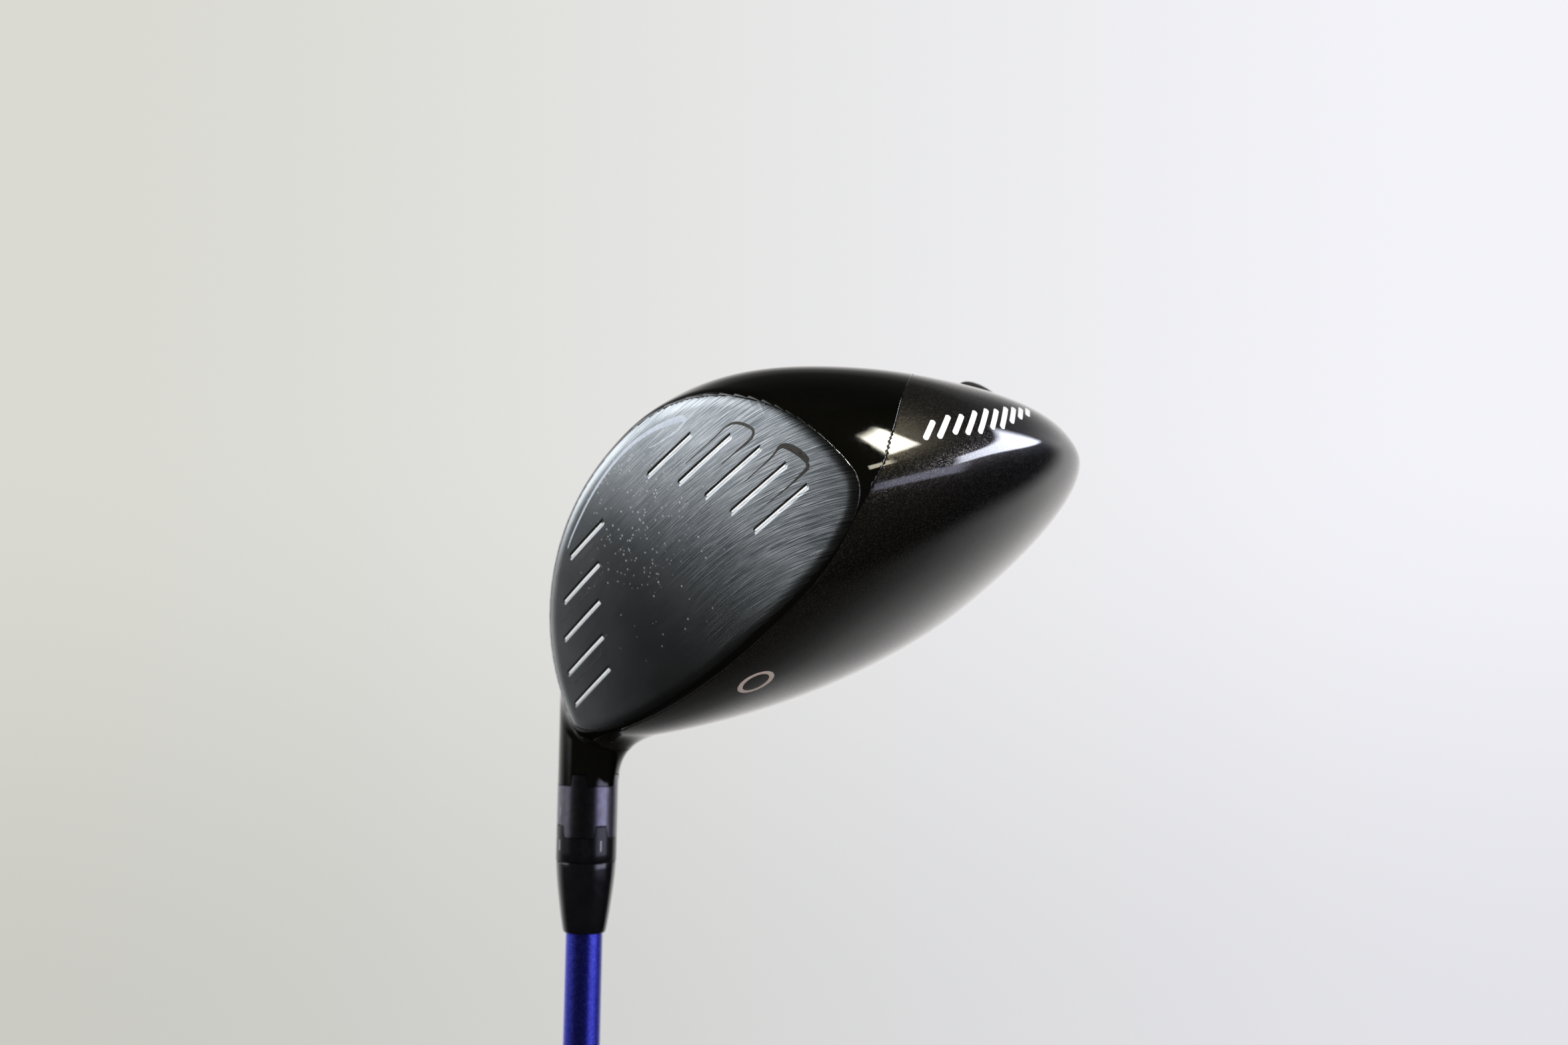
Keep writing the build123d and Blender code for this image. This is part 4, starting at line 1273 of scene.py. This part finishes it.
for obj, name, slot in (
        (face_o, "brushed_face_metal", "face_metal"),
        (front_o, "gloss_black_lacquer", "gloss_black"),
        (neck_o, "gloss_black_lacquer", "gloss_black"),
        (hosel_o, "gloss_black_lacquer", "gloss_black"),
        (strip_o, "elastomer_black", "elastomer"),
        (crown_o, "charcoal_flake_paint", "flake_paint"),
        (sole_o, "sole_flake_paint", "flake_paint"),
        (paint_o, "groove_paint", "line_paint"),
        (etch_o, "etched_metal", "face_metal"),
        (dark_o, "dark_etched_metal", "face_metal"),
        (collar_marks_o, "index_ink", "line_paint"),
        (ring_marks_o, "ring_index_ink", "line_paint"),
        (bars_o, "pale_mark_ink", "line_paint"),
        (oval_o, "beige_mark_ink", "line_paint"),
        (ring_o, "lilac_anodised_ring", "ring_anodised"),
        (sleeve_o, "sleeve_black_anodised", "sleeve_black"),
        (ferrule_o, "ferrule_gloss_black", "ferrule_black"),
        (shaft_o, "blue_metallic_lacquer", "shaft_blue"),
        (grip_o, "grip_rubber_textured", "grip_rubber"),
        (well_o, "gloss_black_lacquer", "gloss_black"),
        (web_o, "satin_aluminium", "gloss_black")):
    obj.data.materials.append(materials[name])

# pieces used as they come from the CAD
for piece, name in (
        ("weight_tube", "satin_aluminium"), ("tube_bumper", "elastomer_black"),
        ("weight_cartridge", "anodised_aluminium"), ("tungsten_slug", "sintered_tungsten"),
        ("light_slug", "moulded_polymer"), ("cap_o_ring", "elastomer_black"),
        ("weight_cap", "black_anodised_cap"), ("hosel_screw", "plated_steel"),
        ("screw_washer", "plated_steel"), ("screw_retainer", "nylon"),
        ("sleeve_insert", "machined_brass"), ("shaft_tip_plug", "plug_polymer"),
        ("grip_tape", "woven_tape"), ("hot_melt_patch", "tacky_glue")):
    obj = cad_nodes[piece]
    if not obj.material_slots:
        obj.data.materials.append(materials[name])
    for slot in obj.material_slots:
        slot.material = materials[name]

# ------------------------------------------------------------------ camera
scene = bpy.context.scene
# The camera's own directions, and its place in millimetres
RIGHT = np.array([-0.59696192, 0.72319927, 0.34730287])
DOWN = np.array([0.55666368, 0.06164955, 0.82844727])
VIEW = np.array([0.5777214, 0.68788236, -0.4393812])
CAMERA_P = np.array([-259.1867, -263.6462, 182.9501]) + FACE_O
FOCUS_DIST = 395.0


def add_camera():
    data = bpy.data.cameras.new("camera")
    camera = bpy.data.objects.new("camera", data)
    scene.collection.objects.link(camera)
    scene.camera = camera
    rows = [[RIGHT[i], -DOWN[i], -VIEW[i], CAMERA_P[i] * MM] for i in range(3)]
    camera.matrix_world = Matrix(rows + [[0, 0, 0, 1]])
    data.sensor_width = 36.0
    data.lens = 43.7448194
    data.clip_start = 0.01
    data.clip_end = 50
    focus = bpy.data.objects.new("focus_point", None)
    scene.collection.objects.link(focus)
    focus.location = tuple((CAMERA_P + VIEW * FOCUS_DIST) * MM)
    data.dof.use_dof = True
    data.dof.focus_object = focus
    data.dof.aperture_fstop = 11.0


add_camera()


# ------------------------------------------------------------------ floor
def window_backdrop(g):
    """Plain pale sweep: a little warmer on the left, a little darker towards the bottom."""
    window = g.parts(g.node("TexCoord").outputs["Window"])
    across = g.ramp(window[0], [(0.0, (0.7, 0.7, 0.65)), (1.0, (0.9, 0.9, 0.95))], "EASE")
    up = g.ramp(window[1], [(0.0, 0.85), (0.6, 1.0)], "EASE")
    return g.mix(1.0, across, up, "MULTIPLY")


def add_floor():
    """Square grid well below the head, seen by the camera only. Sizes in metres."""
    half, height, cells = 40.0, -0.75, 24
    row = cells + 1
    verts = [((i / cells - .5) * 2 * half, (j / cells - .5) * 2 * half, height)
             for j in range(row) for i in range(row)]
    faces = [(j * row + i, j * row + i + 1, (j + 1) * row + i + 1, (j + 1) * row + i)
             for j in range(cells) for i in range(cells)]
    me = bpy.data.meshes.new("floor")
    me.from_pydata(verts, [], faces)
    floor = bpy.data.objects.new("floor", me)
    scene.collection.objects.link(floor)
    floor.visible_shadow = False
    floor.visible_glossy = False
    floor.visible_diffuse = False
    floor.visible_transmission = False
    return floor


def pale_floor():
    """Glows from above and is clear from below, so the sole can be looked at."""
    g = new_material("pale_floor")
    nodes = g.tree.nodes
    nodes.remove(nodes["Principled BSDF"])
    glow = g.node("Emission", {0: window_backdrop(g)}).outputs[0]
    below = g.node("NewGeometry").outputs["Backfacing"]
    clear = g.node("BsdfTransparent").outputs[0]
    mixed = g.node("MixShader", {0: below, 1: glow, 2: clear}).outputs[0]
    output = next(n for n in nodes if n.type == "OUTPUT_MATERIAL")
    g.plug(output, {0: mixed})
    return materials["pale_floor"]


add_floor().data.materials.append(pale_floor())


# ------------------------------------------------------------------ world
def studio_world():
    """Studio as seen in reflections, laid out in the camera's frame."""
    world = bpy.data.worlds.new("studio")
    scene.world = world
    world.use_nodes = True
    g = Graph(world.node_tree)
    direction = g.node("TexCoord").outputs["Generated"]
    right, down, away = (g.dot(direction, v) for v in (RIGHT, DOWN, VIEW))
    # azimuth in degrees: 0 behind the head, +90 to the right, 180 behind the lens
    azimuth = g.math("MULTIPLY", g.math("ARCTAN2", right, away), 180 / math.pi)

    def between(value, rise, full, fade, end):
        """1 from full to fade, softly down to 0 at rise and at end."""
        smooth = dict(interpolation_type="SMOOTHSTEP")
        up = g.node("MapRange", {0: value, 1: rise, 2: full}, **smooth)
        out = g.node("MapRange", {0: value, 1: fade, 2: end, 3: 1.0, 4: 0.0}, **smooth)
        return g.math("MULTIPLY", up.outputs[0], out.outputs[0])

    def both(a, b):
        return g.math("MULTIPLY", a, b)

    # brightness of the sweep behind the head, from straight up to straight down
    fall = g.ramp(g.math("MULTIPLY_ADD", down, 0.5, 0.5), [
        (0.05, .012), (0.175, .05), (0.25, .20), (0.30, .50), (0.375, .95), (0.5, 1.0),
        (0.625, .90), (0.67, .72), (0.715, .52), (0.75, .34), (0.80, .15), (0.85, .07),
        (0.90, .03), (1.0, .008)])
    # the bar of light to the right changes height with azimuth
    tilted = g.math("ADD", down, g.math("MULTIPLY_ADD", azimuth, -0.0064, 0.757))
    panels = [
        # sweep behind the head
        (both(between(azimuth, -95, -40, 42, 58), fall), (1.00, 0.985, 0.975)),
        # left wall
        (both(between(azimuth, -121, -105, -62, -44), between(down, -.80, -.50, -.15, .06)),
         (3.45, 3.52, 3.66)),
        # window wall to the right
        (both(between(azimuth, 88, 100, 125, 146), between(down, -.10, -.02, .13, .20)),
         (2.1, 2.15, 2.9)),
        # ceiling pane, two halves
        (both(between(down, -.955, -.93, -.84, -.80), between(azimuth, 101, 105, 124, 128)),
         (27, 26, 22)),
        (both(between(down, -.75, -.73, -.66, -.63), between(azimuth, 126, 132, 140, 146)),
         (10, 9.4, 7.4)),
        # dim fill all round the lens
        (between(away, -1.2, -1.1, -.2, .3), (.022, .021, .018)),
        # bar of light to the right
        (both(between(azimuth, 50, 57, 95, 103), between(tilted, -.21, -.15, .03, .08)),
         (11.5, 12.0, 14.0))]
    total, *others = [g.scaled(color, amount) for amount, color in panels]
    for light in others:
        total = g.vector("ADD", total, light)
    # the lens itself sees the pale backdrop, also beyond the floor's edge and from below
    seen = g.node("LightPath").outputs["Is Camera Ray"]
    g.plug(g.tree.nodes["Background"], {0: g.mix(seen, total, window_backdrop(g))})
    world.cycles.sampling_method = "MANUAL"
    world.cycles.sample_map_resolution = 2048


studio_world()


# ------------------------------------------------------------------ lights
LIGHT_TARGET = Vector((0.0, 0.02, 0.03))


def area_light(name, place, size, power, color):
    """Square soft light aimed at the head, not seen by the lens or in gloss. In metres."""
    light = bpy.data.lights.new(name, "AREA")
    light.shape = "RECTANGLE"
    light.size = light.size_y = size
    light.energy = power
    light.color = color
    obj = bpy.data.objects.new(name, light)
    scene.collection.objects.link(obj)
    obj.location = place
    aim = LIGHT_TARGET - Vector(place)
    obj.rotation_euler = aim.to_track_quat("-Z", "Y").to_euler()
    obj.visible_camera = False
    obj.visible_glossy = False


area_light("fill_front", (-1.3, -1.5, 1.0), size=1.2, power=62.0, color=(1.0, 0.985, 0.97))
area_light("fill_under", (-0.6, -0.9, -1.2), size=1.0, power=16.0, color=(0.97, 0.98, 1.0))

scene.view_settings.view_transform = "Standard"
scene.view_settings.look = "None"
scene.view_settings.exposure = 0.0
scene.cycles.max_bounces = 6
